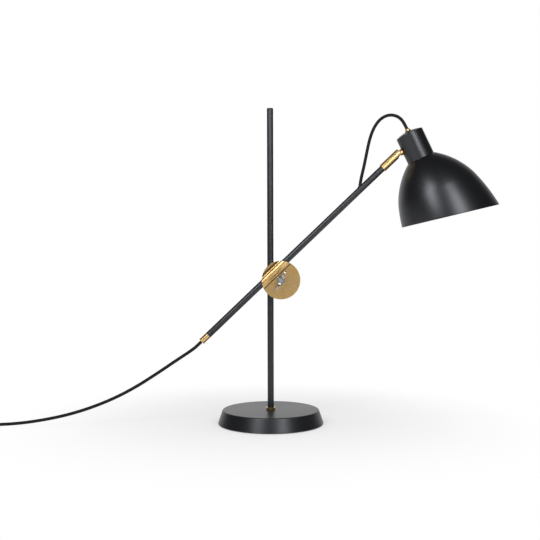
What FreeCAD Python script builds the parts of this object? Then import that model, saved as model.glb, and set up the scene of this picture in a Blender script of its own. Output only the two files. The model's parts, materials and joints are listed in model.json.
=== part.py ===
"""A table lamp whose slanted arm is held on an upright post by a round friction clamp.

All lengths are in millimetres. The row frame has +Z up and its origin in the middle of the base's underside.
+X points the way that the arm rises, and -Y is the side that the wing nut is on.
"""

import FreeCAD, Part  # noqa: E401
import math
import os

import Sketcher
from FreeCAD import Placement, Rotation, Vector

SIZES = {
    # base
    "base_diameter": 200.0,
    "base_lean": 7.7,
    "base_height": 27.3,
    "base_wall": 3.0,
    "base_edge_radius": 2.6,
    "base_rim_gap": 1.0,
    "pad_inset": 6.0,
    "pad_thickness": 2.5,
    "cover_inset": 5.0,
    "cover_thickness": 2.0,
    "weight_gap": 1.3,
    "weight_recess_diameter": 34.0,
    "weight_recess_depth": 9.5,
    # foot bush, in which the post turns
    "bush_flats": 17.0,
    "bush_head": 4.0,
    "bush_shank": 14.0,
    "bush_floor": 2.5,
    "bush_floor_bore": 8.2,
    "lock_nut_flats": 19.0,
    "lock_nut_height": 4.0,
    "foot_washer_diameter": 16.0,
    "foot_washer_thickness": 1.5,
    "foot_screw_diameter": 5.0,
    "foot_screw_head": 9.0,
    "foot_screw_head_height": 2.4,
    "foot_screw_length": 12.0,
    "foot_plug_length": 14.0,
    # tubes
    "tube_diameter": 12.0,
    "tube_wall": 1.0,
    "post_top": 597.4,
    "cap_thickness": 1.2,
    "cap_spigot": 8.0,
    # clamp
    "clamp_height": 273.5,
    "clamp_diameter": 72.2,
    "groove_offset": 19.8,
    "groove_fit": 0.06,
    "jaw_gap": 0.5,
    "jaw_thickness": 8.1,
    "friction_disc_thickness": 0.8,
    "friction_disc_diameter": 30.0,
    "front_jaw_flat": 3.6,
    "channel_wall": 2.0,
    "channel_fillet": 2.2,
    "jaw_edge_chamfer": 0.8,
    "bolt_diameter": 8.0,
    "bolt_fit": 0.1,
    "bolt_head_diameter": 18.0,
    "bolt_head_height": 4.5,
    "bolt_end": 14.5,
    "washer_diameter": 16.0,
    "washer_thickness": 1.4,
    "nut_boss_diameter": 12.6,
    "nut_boss_height": 10.0,
    "nut_wing_span": 37.8,
    "nut_wing_thickness": 3.2,
    "nut_wing_top": 17.0,
    "nut_wing_start": 3.4,
    "nut_wing_turn": 25.4,
    "turning_gap": 0.3,
    # arm
    "arm_angle": 43.6,
    "arm_below": 169.9,
    "arm_above": 310.0,
    "tail_plug_length": 17.6,
    "tail_plug_lip": 12.8,
    "tail_plug_lip_length": 1.6,
    "tail_plug_spigot": 9.0,
    "lead_hole_place": 222.0,
    "lead_hole_slant": 46.4,
    "lead_hole_turn": 48.0,
    "grommet_wall": 1.0,
    "grommet_stand": 1.2,
    # knuckle
    "sleeve_cover": 28.0,
    "sleeve_length": 43.9,
    "sleeve_diameter": 15.4,
    "sleeve_fit": 0.05,
    "sleeve_screw_diameter": 3.0,
    "sleeve_screw_place": 8.0,
    "ball_back": 5.8,
    "ball_diameter": 11.6,
    "pin_diameter": 3.0,
    "pin_fit": 0.05,
    "stem_diameter": 6.0,
    "collar_start": 6.1,
    "collar_diameter": 12.0,
    "collar_thickness": 4.4,
    "saddle_thickness": 0.5,
    "swing_down": 60.0,
    "stud_nut_flats": 10.0,
    "stud_nut_height": 3.0,
    "stud_height": 26.3,
    # head
    "head_angle": 25.4,
    "neck_diameter": 52.0,
    "neck_height": 51.3,
    "neck_dome": 5.2,
    "neck_wall": 1.5,
    "gland_diameter": 9.4,
    "gland_height": 3.8,
    "gland_shank": 8.4,
    "gland_ring_diameter": 12.4,
    "gland_ring_thickness": 0.9,
    "gland_nut_flats": 12.0,
    "gland_nut_height": 2.5,
    "shade_top_diameter": 54.4,
    "shade_shoulder_diameter": 151.4,
    "shade_shoulder_depth": 63.0,
    "shade_shoulder_radius": 145.3,
    "shade_mouth_diameter": 185.6,
    "shade_depth": 145.0,
    "shade_flank_radius": 330.0,
    "shade_wall": 1.2,
    "shade_hole_diameter": 40.4,
    "rim_depth": 119.9,
    "rim_slant": 12.1,
    # lampholder and bulb
    "holder_diameter": 39.6,
    "holder_below": 12.0,
    "holder_above": 26.0,
    "holder_wall": 2.0,
    "holder_flange": 44.0,
    "holder_flange_thickness": 2.0,
    "shade_ring_diameter": 50.0,
    "shade_ring_height": 7.0,
    "holder_cap_top": 50.6,
    "holder_cap_floor": 3.0,
    "insert_thickness": 5.0,
    "shell_diameter": 28.6,
    "shell_wall": 0.6,
    "shell_height": 22.0,
    "contact_diameter": 7.0,
    "contact_height": 2.5,
    "bulb_cap_diameter": 26.0,
    "bulb_cap_height": 24.0,
    "bulb_cap_wall": 0.5,
    "bulb_diameter": 60.0,
    "bulb_length": 82.0,
    "bulb_glass_wall": 1.0,
    # cord
    "cord_diameter": 6.0,
    "cord_fit": 0.1,
    "cord_join": 0.3,
    "cord_rest": 0.05,
    "coil_x": -580.0,
    "coil_y": -18.3,
    "coil_outer_radius": 44.0,
    "coil_pitch": 7.0,
    "coil_turns_in": 2.25,
    "coil_layer_rise": 6.6,
    # switch on the cord
    "switch_lead": 28.0,
    "switch_length": 62.0,
    "switch_width": 28.0,
    "switch_height": 19.0,
    "switch_wall": 2.0,
    "switch_corner": 6.0,
    "switch_edge": 1.4,
    "rocker_length": 18.0,
    "rocker_width": 11.0,
    "rocker_proud": 2.2,
    "rocker_depth": 4.5,
    "rocker_tilt": 8.0,
    "rocker_gap": 0.5,
    "rocker_axle": 2.4,
    "rocker_axle_depth": 3.6,
    "rocker_ear": 2.0,
    "switch_screw_diameter": 2.8,
    "switch_screw_spacing": 42.0,
    # plug on the cord
    "plug_width": 35.0,
    "plug_thickness": 14.0,
    "plug_length": 36.0,
    "plug_corner": 5.0,
    "plug_grip_diameter": 10.0,
    "plug_grip_length": 14.0,
    "plug_pin_diameter": 4.0,
    "plug_pin_length": 19.0,
    "plug_pin_spacing": 18.6,
    "plug_shank_diameter": 3.4,
    "plug_shank_depth": 14.4,
}

# The middle points of each free stretch of cord, chosen by hand; its ends are where the cord joins.
LOOP_ROUTE = [
    (177.6, 1.5, 486.0),
    (183.0, 4.5, 511.0),
    (188.3, 4.0, 537.0),
    (195.1, 1.0, 558.1),
    (204.6, -3.0, 573.4),
    (215.0, -7.0, 581.2),
    (225.7, -10.5, 583.9),
    (236.5, -14.0, 581.8),
    (245.4, -17.0, 575.3),
]
TAIL_ROUTE = [
    (-144.9, -18.3, 144.1),
    (-176.0, -18.3, 123.9),
    (-216.0, -18.3, 96.9),
    (-256.0, -18.2, 71.6),
    (-297.0, -18.0, 50.6),
    (-339.0, -17.9, 33.9),
    (-382.0, -18.0, 20.9),
    (-424.0, -18.3, 12.1),
    (-466.0, -18.5, 5.9),
    (-505.0, -18.5, 3.05),
    (-541.0, -18.3, 3.05),
]
PLUG_ROUTE = [
    (-716.0, -12.6, 8.9),
    (-730.2, 3.6, 8.0),
    (-735.0, 23.6, 7.2),
]
PLUG_PLACE = (-735.0, 43.0)


class Size:
    """A size: its value now, and the sheet's expression for it."""

    def __init__(self, value, text):
        self.value = float(value)
        self.text = text

    def join(self, other, sign, value):
        return Size(value, f"({self.text} {sign} {as_size(other).text})")

    def __add__(self, other):
        return self.join(other, "+", self.value + as_size(other).value)

    def __sub__(self, other):
        return self.join(other, "-", self.value - as_size(other).value)

    def __mul__(self, other):
        return self.join(other, "*", self.value * as_size(other).value)

    def __truediv__(self, other):
        return self.join(other, "/", self.value / as_size(other).value)

    def __radd__(self, other):
        return as_size(other) + self

    def __rsub__(self, other):
        return as_size(other) - self

    def __rmul__(self, other):
        return as_size(other) * self

    def __neg__(self):
        return Size(-self.value, f"(0 - {self.text})")


def as_size(value):
    return value if isinstance(value, Size) else Size(value, repr(float(value)))


def root(size):
    return Size(math.sqrt(size.value), f"sqrt({size.text})")


doc = FreeCAD.newDocument("ClampArmLamp")
sheet = doc.addObject("Spreadsheet::Sheet", "Sizes")
for row, (alias, value) in enumerate(SIZES.items(), start=1):
    sheet.set(f"A{row}", alias)
    sheet.set(f"B{row}", str(value))
    sheet.setAlias(f"B{row}", alias)
doc.recompute()
S = type("Sizes", (), {name: Size(sheet.get(name), f"Sizes.{name}") for name in SIZES})

PARTS = {}


def keep(label, obj, frame=None):
    """Gives a finished sub-part its name and its place."""
    obj.Label = label
    if frame is not None:
        obj.Placement = frame
    PARTS[label] = obj
    return obj


def bind(obj, prop, size):
    obj.setExpression(prop, as_size(size).text)


# ---------------------------------------------------------------- sketches and bodies


def new_body(name):
    return doc.addObject("PartDesign::Body", name)


def sketch_on(body, role, offset=None):
    """A sketch on one of the body's own origin planes, lifted off it by offset."""
    sketch = body.newObject("Sketcher::SketchObject", body.Name + "Sketch")
    plane = next(f for f in body.Origin.OriginFeatures if f.Role == role)
    sketch.AttachmentSupport = (plane, [""])
    sketch.MapMode = "FlatFace"
    if offset is not None:
        bind(sketch, "AttachmentOffset.Base.z", offset)
    return sketch


def pin_point(sketch, geometry, position, x, y):
    """Holds a point of the sketch at x, y from the sketch's origin."""
    for axis, kind, size in ((-2, "DistanceX", as_size(x)), (-1, "DistanceY", as_size(y))):
        if abs(size.value) < 1e-9:
            sketch.addConstraint(Sketcher.Constraint("PointOnObject", geometry, position, axis))
        else:
            number = sketch.addConstraint(
                Sketcher.Constraint(kind, -1, 1, geometry, position, size.value)
            )
            sketch.setExpression(f"Constraints[{number}]", size.text)


def arc_between(first, last, radius):
    """The short arc from first to last; a positive radius bulges to the right of that way."""
    a = Vector(*first, 0)
    b = Vector(*last, 0)
    half = (b - a) / 2
    side = Vector(half.y, -half.x, 0).normalize()
    sagitta = abs(radius) - math.sqrt(radius * radius - half.Length**2)
    middle = a + half + side * math.copysign(sagitta, radius)
    return Part.Arc(a, middle, b)


def outline(sketch, points):
    """A closed outline through (x, y) points. (x, y, radius) ends an arc of that radius."""
    flat = [tuple(as_size(v).value for v in p) for p in points]
    numbers = []
    ends = []
    for n, point in enumerate(flat):
        start = Vector(*flat[n - 1][:2], 0)
        if len(point) == 3:
            curve = arc_between(flat[n - 1][:2], point[:2], point[2])
        else:
            curve = Part.LineSegment(start, Vector(*point, 0))
        number = sketch.addGeometry(curve)
        numbers.append(number)
        first = 1 if sketch.getPoint(number, 1).distanceToPoint(start) < 1e-6 else 2
        ends.append((first, 3 - first))
        if len(point) == 3:
            radius = as_size(points[n][2])
            held = sketch.addConstraint(Sketcher.Constraint("Radius", number, abs(radius.value)))
            text = radius.text if radius.value > 0 else f"(0 - {radius.text})"
            sketch.setExpression(f"Constraints[{held}]", text)
    for n, number in enumerate(numbers):
        after = (n + 1) % len(numbers)
        sketch.addConstraint(
            Sketcher.Constraint("Coincident", number, ends[n][1], numbers[after], ends[after][0])
        )
        pin_point(sketch, number, ends[n][1], points[n][0], points[n][1])
    return sketch


def circle(sketch, x, y, radius):
    radius = as_size(radius)
    centre = Vector(as_size(x).value, as_size(y).value, 0)
    number = sketch.addGeometry(Part.Circle(centre, Vector(0, 0, 1), radius.value))
    constraint = sketch.addConstraint(Sketcher.Constraint("Radius", number, radius.value))
    sketch.setExpression(f"Constraints[{constraint}]", radius.text)
    pin_point(sketch, number, 3, x, y)
    return sketch


def rectangle(sketch, x0, y0, x1, y1):
    return outline(sketch, [(x0, y0), (x1, y0), (x1, y1), (x0, y1)])


def feature(body, kind, sketch, **values):
    """A Pad, Pocket, Revolution or Groove of the sketch; sizes in values are bound."""
    made = body.newObject(f"PartDesign::{kind}", body.Name + kind)
    made.Profile = sketch
    for prop, value in values.items():
        if isinstance(value, Size):
            bind(made, prop, value)
        else:
            setattr(made, prop, value)
    return made


def dress(body, kind, size, wanted):
    """A Fillet or a Chamfer of the edges for which wanted(edge) holds."""
    doc.recompute()
    base = body.Tip
    edges = [f"Edge{n}" for n, edge in enumerate(base.Shape.Edges, start=1) if wanted(edge)]
    if not edges:
        raise ValueError(f"{body.Name}: no edge to dress")
    made = body.newObject(f"PartDesign::{kind}", body.Name + kind)
    made.Base = (base, edges)
    bind(made, "Radius" if kind == "Fillet" else "Size", size)
    doc.recompute()
    return made


def lies_at(edge, axis, place):
    """Whether an edge lies wholly at that place along X, Y or Z."""
    box = edge.BoundBox
    low, high = getattr(box, axis + "Min"), getattr(box, axis + "Max")
    return abs(low - place.value) < 1e-4 and abs(high - place.value) < 1e-4


def revolve(body, points, kind="Revolution"):
    """Turns an outline of (radius, height) points about the body's Z axis."""
    sketch = outline(sketch_on(body, "XZ_Plane"), points)
    return feature(body, kind, sketch, ReferenceAxis=(sketch, ["V_Axis"]), Angle=360.0)


def turned(label, points, frame=None):
    body = new_body(label)
    revolve(body, points)
    return keep(label, body, frame)


def ring(label, outer, inner, bottom, top, frame=None):
    """A plain ring or disc: outer and inner are diameters, and inner 0 makes a disc."""
    body = new_body(label)
    sketch = circle(sketch_on(body, "XY_Plane", bottom), 0, 0, outer / 2)
    if as_size(inner).value > 0:
        circle(sketch, 0, 0, inner / 2)
    feature(body, "Pad", sketch, Length=top - bottom)
    return keep(label, body, frame)


def hexagon(sketch, flats):
    """A hexagon about the sketch's origin with two flats square to its X axis."""
    half = flats / 2
    corner = flats / (2 * math.sqrt(3))
    tip = flats / math.sqrt(3)
    return outline(
        sketch,
        [(half, -corner), (half, corner), (0, tip), (-half, corner), (-half, -corner), (0, -tip)],
    )


def hex_nut(label, flats, bore, bottom, top, frame=None):
    body = new_body(label)
    sketch = hexagon(sketch_on(body, "XY_Plane", bottom), flats)
    circle(sketch, 0, 0, bore / 2)
    feature(body, "Pad", sketch, Length=top - bottom)
    return keep(label, body, frame)


def cut(kept, *tools):
    """The kept piece with the tools taken away, in the same frame."""
    made = kept
    for tool in tools:
        whole = doc.addObject("Part::Cut", tool.Name + "Cut")
        whole.Base = made
        whole.Tool = tool
        made = whole
    return made


def rod(name, radius, length, base=(0, 0, 0), direction=(0, 0, 1)):
    """A cylinder from base along direction; its radius, length and base are bound."""
    made = doc.addObject("Part::Cylinder", name)
    bind(made, "Radius", radius)
    bind(made, "Height", length)
    made.Placement = Placement(Vector(0, 0, 0), Rotation(Vector(0, 0, 1), Vector(*direction)))
    for axis, size in zip("xyz", base):
        bind(made, f"Placement.Base.{axis}", size)
    return made


# ---------------------------------------------------------------- frames


def turn_y(degrees):
    return Rotation(Vector(0, 1, 0), degrees)


tube_radius = S.tube_diameter / 2
bore_radius = tube_radius - S.tube_wall
# the tubes' middle planes are the arm clamp's two jaws and two webs apart
half_jaw = S.jaw_gap + S.jaw_thickness
arm_depth = 2 * half_jaw + S.friction_disc_thickness + S.turning_gap
arm_y = -arm_depth

theta = math.radians(S.arm_angle.value)
arm_way = Vector(math.cos(theta), 0, math.sin(theta))
arm_side = Vector(math.sin(theta), 0, -math.cos(theta))  # from the arm's axis to the bolt
bolt_point = Vector(S.groove_offset.value, 0, S.clamp_height.value)
arm_origin = bolt_point - arm_side * S.groove_offset.value + Vector(0, arm_y.value, 0)

POST = Placement()
CLAMP = Placement(Vector(0, 0, S.clamp_height.value), Rotation())
ARM = Placement(arm_origin, turn_y(90 - S.arm_angle.value))

# the head hangs on the ball: its collar, washer and neck wall are in line with the stem
sleeve_start = S.arm_above - S.sleeve_cover
sleeve_end = sleeve_start + S.sleeve_length
ball_place = sleeve_end - S.ball_back
neck_radius = S.neck_diameter / 2
stud_reach = S.collar_start + S.collar_thickness + S.saddle_thickness + neck_radius
ball_point = ARM.multVec(Vector(0, 0, ball_place.value))
head_turn = turn_y(-S.head_angle.value)
head_origin = ball_point - head_turn.multVec(Vector(-stud_reach.value, 0, S.stud_height.value))
HEAD = Placement(head_origin, head_turn)
STUD = HEAD * Placement(
    Vector(-stud_reach.value, 0, S.stud_height.value), Rotation(Vector(0, 0, 1), Vector(1, 0, 0))
)

# ---------------------------------------------------------------- base


def make_base():
    top = S.base_height
    under = top - S.base_wall
    outer = S.base_diameter / 2
    upper = outer - S.base_lean
    edge = S.base_edge_radius
    shank = S.bush_shank / 2

    body = new_body("base_shell")
    revolve(
        body,
        [
            (shank + S.cord_fit, top),
            (upper - edge, top),
            (upper, top - edge, -1.05 * edge),
            (outer, S.base_rim_gap + edge / 2),
            (outer - edge / 4, S.base_rim_gap),
            (outer - S.base_wall, S.base_rim_gap),
            (upper - S.base_wall, under),
            (shank + S.cord_fit, under),
        ],
    )
    keep("base_shell", body)

    cover_top = S.pad_thickness + S.cover_thickness
    ring("base_pad", S.base_diameter - 2 * S.pad_inset, 0, 0, S.pad_thickness)
    ring("base_cover", S.base_diameter - 2 * S.cover_inset, 0, S.pad_thickness, cover_top)
    recess_top = cover_top + S.weight_recess_depth
    weight_radius = upper - S.base_wall - S.weight_gap
    turned(
        "base_weight",
        [
            (shank + S.cord_fit, under),
            (weight_radius - edge, under),
            (weight_radius, under - edge),
            (weight_radius, cover_top),
            (S.weight_recess_diameter / 2, cover_top),
            (S.weight_recess_diameter / 2, recess_top),
            (shank + S.cord_fit, recess_top),
        ],
    )

    # the bush: a hexagon head on the shell, a shank through shell and weight, a floor with a hole
    shank_end = recess_top - S.lock_nut_height - 1
    bush = new_body("foot_bush")
    head = hexagon(sketch_on(bush, "XY_Plane", top), S.bush_flats)
    feature(bush, "Pad", head, Length=S.bush_head)
    stem = circle(sketch_on(bush, "XY_Plane", shank_end), 0, 0, shank)
    feature(bush, "Pad", stem, Length=top - shank_end)
    bush_floor = shank_end + S.bush_floor
    revolve(
        bush,
        [
            (0, shank_end - 1),
            (S.bush_floor_bore / 2, shank_end - 1),
            (S.bush_floor_bore / 2, bush_floor),
            (tube_radius + S.pin_fit, bush_floor),
            (tube_radius + S.pin_fit, top + S.bush_head + 1),
            (0, top + S.bush_head + 1),
        ],
        "Groove",
    )
    keep("foot_bush", bush)
    nut_top = recess_top
    hex_nut(
        "bush_lock_nut",
        S.lock_nut_flats,
        S.bush_shank + S.cord_fit,
        nut_top - S.lock_nut_height,
        nut_top,
    )
    return shank_end, bush_floor


def make_post(shank_end, bush_floor):
    start = bush_floor + S.turning_gap
    ring("post_tube", S.tube_diameter, S.tube_diameter - 2 * S.tube_wall, start, S.post_top)
    cap_top = S.post_top + S.cap_thickness
    turned(
        "post_cap",
        [
            (0, S.post_top - S.cap_spigot),
            (bore_radius - S.pin_fit, S.post_top - S.cap_spigot),
            (bore_radius - S.pin_fit, S.post_top),
            (tube_radius, S.post_top),
            (tube_radius, cap_top - S.cap_thickness / 2),
            (tube_radius - S.cap_thickness / 2, cap_top),
            (0, cap_top),
        ],
    )
    # the plug in the post's foot goes down through the bush's floor, and the screw holds it there
    stub_end = shank_end - S.turning_gap
    screw_radius = S.foot_screw_diameter / 2
    turned(
        "post_foot_plug",
        [
            (screw_radius + S.pin_fit, stub_end),
            (S.bush_floor_bore / 2 - S.cord_fit, stub_end),
            (S.bush_floor_bore / 2 - S.cord_fit, start),
            (bore_radius - S.pin_fit, start),
            (bore_radius - S.pin_fit, start + S.foot_plug_length),
            (screw_radius + S.pin_fit, start + S.foot_plug_length),
        ],
    )
    washer_under = stub_end - S.foot_washer_thickness
    ring(
        "post_foot_washer",
        S.foot_washer_diameter,
        S.foot_screw_diameter + 2 * S.pin_fit,
        washer_under,
        stub_end,
    )
    turned(
        "post_foot_screw",
        [
            (0, washer_under - S.foot_screw_head_height),
            (S.foot_screw_head / 2, washer_under - S.foot_screw_head_height),
            (S.foot_screw_head / 2, washer_under),
            (screw_radius, washer_under),
            (screw_radius, washer_under + S.foot_screw_length),
            (0, washer_under + S.foot_screw_length),
        ],
    )


# ---------------------------------------------------------------- clamp


def jaw_disc(label, near, thickness, front):
    """A jaw's disc in its tube's frame: the tube is on Z, and the bolt is along Y at groove_offset."""
    body = new_body(label)
    # the XZ plane's sketches face -Y, so a plane at y = near is at an offset of -near
    disc = circle(sketch_on(body, "XZ_Plane", -near), S.groove_offset, 0, S.clamp_diameter / 2)
    feature(body, "Pad", disc, Length=thickness, Reversed=not front)
    return body


def cut_groove(body):
    groove = circle(sketch_on(body, "XY_Plane"), 0, 0, tube_radius + S.groove_fit)
    feature(body, "Pocket", groove, Type="ThroughAll", Midplane=True)
    hole = circle(
        sketch_on(body, "XZ_Plane"), S.groove_offset, 0, S.bolt_diameter / 2 + S.bolt_fit
    )
    feature(body, "Pocket", hole, Type="ThroughAll", Midplane=True)


def plain_jaw(label, near, front, frame):
    """A thick jaw, from near (towards its tube's middle plane) outwards to the front or the back."""
    body = jaw_disc(label, near, S.jaw_thickness, front)
    far = near - S.jaw_thickness if front else near + S.jaw_thickness
    dress(body, "Chamfer", S.jaw_edge_chamfer, lambda edge: lies_at(edge, "Y", far))
    cut_groove(body)
    return keep(label, body, frame)


def make_front_jaw():
    """The front jaw: a thin disc with a raised half-round channel over the arm."""
    body = jaw_disc("front_jaw", -S.jaw_gap, S.front_jaw_flat, True)
    channel_radius = tube_radius + S.channel_wall
    channel = circle(sketch_on(body, "XY_Plane"), 0, 0, channel_radius)
    feature(body, "Pad", channel, Length=S.clamp_diameter * 1.2, Midplane=True)
    # the channel is trimmed to the disc's round outline and to its front side
    trim = circle(sketch_on(body, "XZ_Plane"), S.groove_offset, 0, S.clamp_diameter)
    circle(trim, S.groove_offset, 0, S.clamp_diameter / 2)
    feature(body, "Pocket", trim, Type="ThroughAll", Midplane=True)
    behind = rectangle(
        sketch_on(body, "XY_Plane"),
        -S.clamp_diameter,
        -S.jaw_gap,
        S.clamp_diameter,
        channel_radius * 2,
    )
    feature(body, "Pocket", behind, Type="ThroughAll", Midplane=True)
    # the creases where the channel meets the flat
    flat_y = -(S.jaw_gap + S.front_jaw_flat)
    dress(
        body,
        "Fillet",
        S.channel_fillet,
        lambda edge: isinstance(edge.Curve, Part.Line) and lies_at(edge, "Y", flat_y),
    )
    cut_groove(body)
    return keep("front_jaw", body, ARM)


def make_clamp():
    plain_jaw("back_jaw", S.jaw_gap, False, CLAMP)
    plain_jaw("post_jaw", -S.jaw_gap, True, CLAMP)
    plain_jaw("arm_jaw", S.jaw_gap, False, ARM)
    make_front_jaw()

    # pieces on the bolt's axis, in a frame whose Z runs to the front along the bolt
    bolt = Placement(bolt_point, Rotation(Vector(0, 0, 1), Vector(0, -1, 0)))
    hole = S.bolt_diameter + 2 * S.bolt_fit
    ring(
        "friction_disc",
        S.friction_disc_diameter,
        hole,
        half_jaw,
        half_jaw + S.friction_disc_thickness,
        bolt,
    )
    face = arm_depth + S.jaw_gap + S.front_jaw_flat
    washer_back = face + S.turning_gap
    washer_front = washer_back + S.washer_thickness
    ring("clamp_washer", S.washer_diameter, hole, washer_back, washer_front, bolt)
    nut_seat = washer_front + S.turning_gap
    back = -half_jaw
    end = washer_front + S.bolt_end
    head_radius = S.bolt_head_diameter / 2
    turned(
        "clamp_bolt",
        [
            (0, back - S.bolt_head_height),
            (head_radius * 0.55, back - S.bolt_head_height),
            (head_radius, back - S.bolt_head_height * 0.3),
            (head_radius, back),
            (S.bolt_diameter / 2, back),
            (S.bolt_diameter / 2, end - 1),
            (S.bolt_diameter / 2 - 1, end),
            (0, end),
        ],
        bolt,
    )
    make_wing_nut(nut_seat, bolt)
    return nut_seat


def make_wing_nut(seat, bolt):
    """A wing nut: a tapered boss and two upswept wings, turned to where the photograph shows them."""
    body = new_body("wing_nut")
    boss = S.nut_boss_diameter / 2
    tip = S.nut_wing_span / 2
    revolve(
        body,
        [
            (0, seat),
            (boss, seat),
            (boss, seat + S.nut_wing_start),
            (boss * 0.86, seat + S.nut_boss_height),
            (0, seat + S.nut_boss_height),
        ],
    )
    inside = boss * 0.5
    wing = outline(
        sketch_on(body, "XZ_Plane"),
        [
            (inside, seat + S.nut_wing_start),
            (boss, seat + S.nut_wing_start),
            (tip * 0.82, seat + S.nut_wing_top * 0.42),
            (tip, seat + S.nut_wing_top * 0.68, tip * 0.35),
            (tip * 0.9, seat + S.nut_wing_top * 0.98, tip * 0.22),
            (tip * 0.72, seat + S.nut_wing_top, tip * 0.2),
            (tip * 0.5, seat + S.nut_wing_top * 0.72),
            (inside, seat + S.nut_boss_height * 0.95),
        ],
    )
    pad = feature(body, "Pad", wing, Length=S.nut_wing_thickness, Midplane=True)
    doc.recompute()
    mirror = body.newObject("PartDesign::Mirrored", "wing_nut_mirror")
    mirror.Originals = [pad]
    mirror.MirrorPlane = (next(f for f in body.Origin.OriginFeatures if f.Role == "YZ_Plane"), [""])
    body.Tip = mirror
    doc.recompute()
    bore = circle(sketch_on(body, "XY_Plane"), 0, 0, S.bolt_diameter / 2 + S.pin_fit)
    feature(body, "Pocket", bore, Type="ThroughAll", Midplane=True)
    # the wings lie at an angle from upright, the upper one leaning to +X
    upright = Rotation(Vector(0, 0, 1), 90 - S.nut_wing_turn.value)
    keep("wing_nut", body, bolt * Placement(Vector(), upright))


# ---------------------------------------------------------------- arm


def lead_hole():
    """Where the lead leaves the arm: a point of the arm's axis and the way out, in the arm's frame."""
    slant = math.radians(S.lead_hole_slant.value)
    turn = math.radians(S.lead_hole_turn.value)
    # the side away from the bolt is -X in the arm's frame, and the back is +Y
    side = Vector(-math.cos(turn), math.sin(turn), 0)
    way = Vector(0, 0, math.cos(slant)) + side * math.sin(slant)
    return Vector(0, 0, S.lead_hole_place.value), way


def make_arm():
    low = -S.arm_below
    high = S.arm_above
    point, way = lead_hole()
    grommet_radius = S.cord_diameter / 2 + S.cord_fit + S.grommet_wall

    tube = new_body("arm_tube_body")
    section = circle(sketch_on(tube, "XY_Plane", low), 0, 0, tube_radius)
    circle(section, 0, 0, bore_radius)
    feature(tube, "Pad", section, Length=high - low)
    middle = (0, 0, S.lead_hole_place)
    drill = rod("lead_drill", grommet_radius + S.pin_fit, S.tube_diameter * 3, middle, way)
    holed = cut(tube, drill)
    keep("arm_tube", holed, ARM)

    # the grommet lines the slanted hole and stands a little proud of the tube
    collar = rod("grommet_collar", grommet_radius, S.tube_diameter * 3, middle, way)
    bore = rod("grommet_bore", S.cord_diameter / 2 + S.pin_fit, S.tube_diameter * 4, middle, way)
    below = (0, 0, S.lead_hole_place - S.tube_diameter * 4)
    core = rod("grommet_core", bore_radius + S.pin_fit, S.tube_diameter * 8, below)
    skin = rod("grommet_skin", tube_radius + S.grommet_stand, S.tube_diameter * 8, below)
    proud = doc.addObject("Part::Common", "grommet_proud")
    proud.Base = collar
    proud.Tool = skin
    keep("cord_grommet", cut(proud, core, bore), ARM)

    plug_end = low - S.tail_plug_length
    bore_r = S.cord_diameter / 2 + S.cord_fit
    lip = S.tail_plug_lip / 2
    turned(
        "arm_tail_plug",
        [
            (bore_r + 0.6, plug_end),
            (lip - 0.4, plug_end),
            (lip, plug_end + 0.4),
            (lip, plug_end + S.tail_plug_lip_length),
            (tube_radius, plug_end + S.tail_plug_lip_length + 0.4),
            (tube_radius, low),
            (bore_radius - S.pin_fit, low),
            (bore_radius - S.pin_fit, low + S.tail_plug_spigot),
            (bore_r, low + S.tail_plug_spigot),
            (bore_r, plug_end + 0.6),
        ],
        ARM,
    )
    return plug_end


# ---------------------------------------------------------------- knuckle


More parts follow.
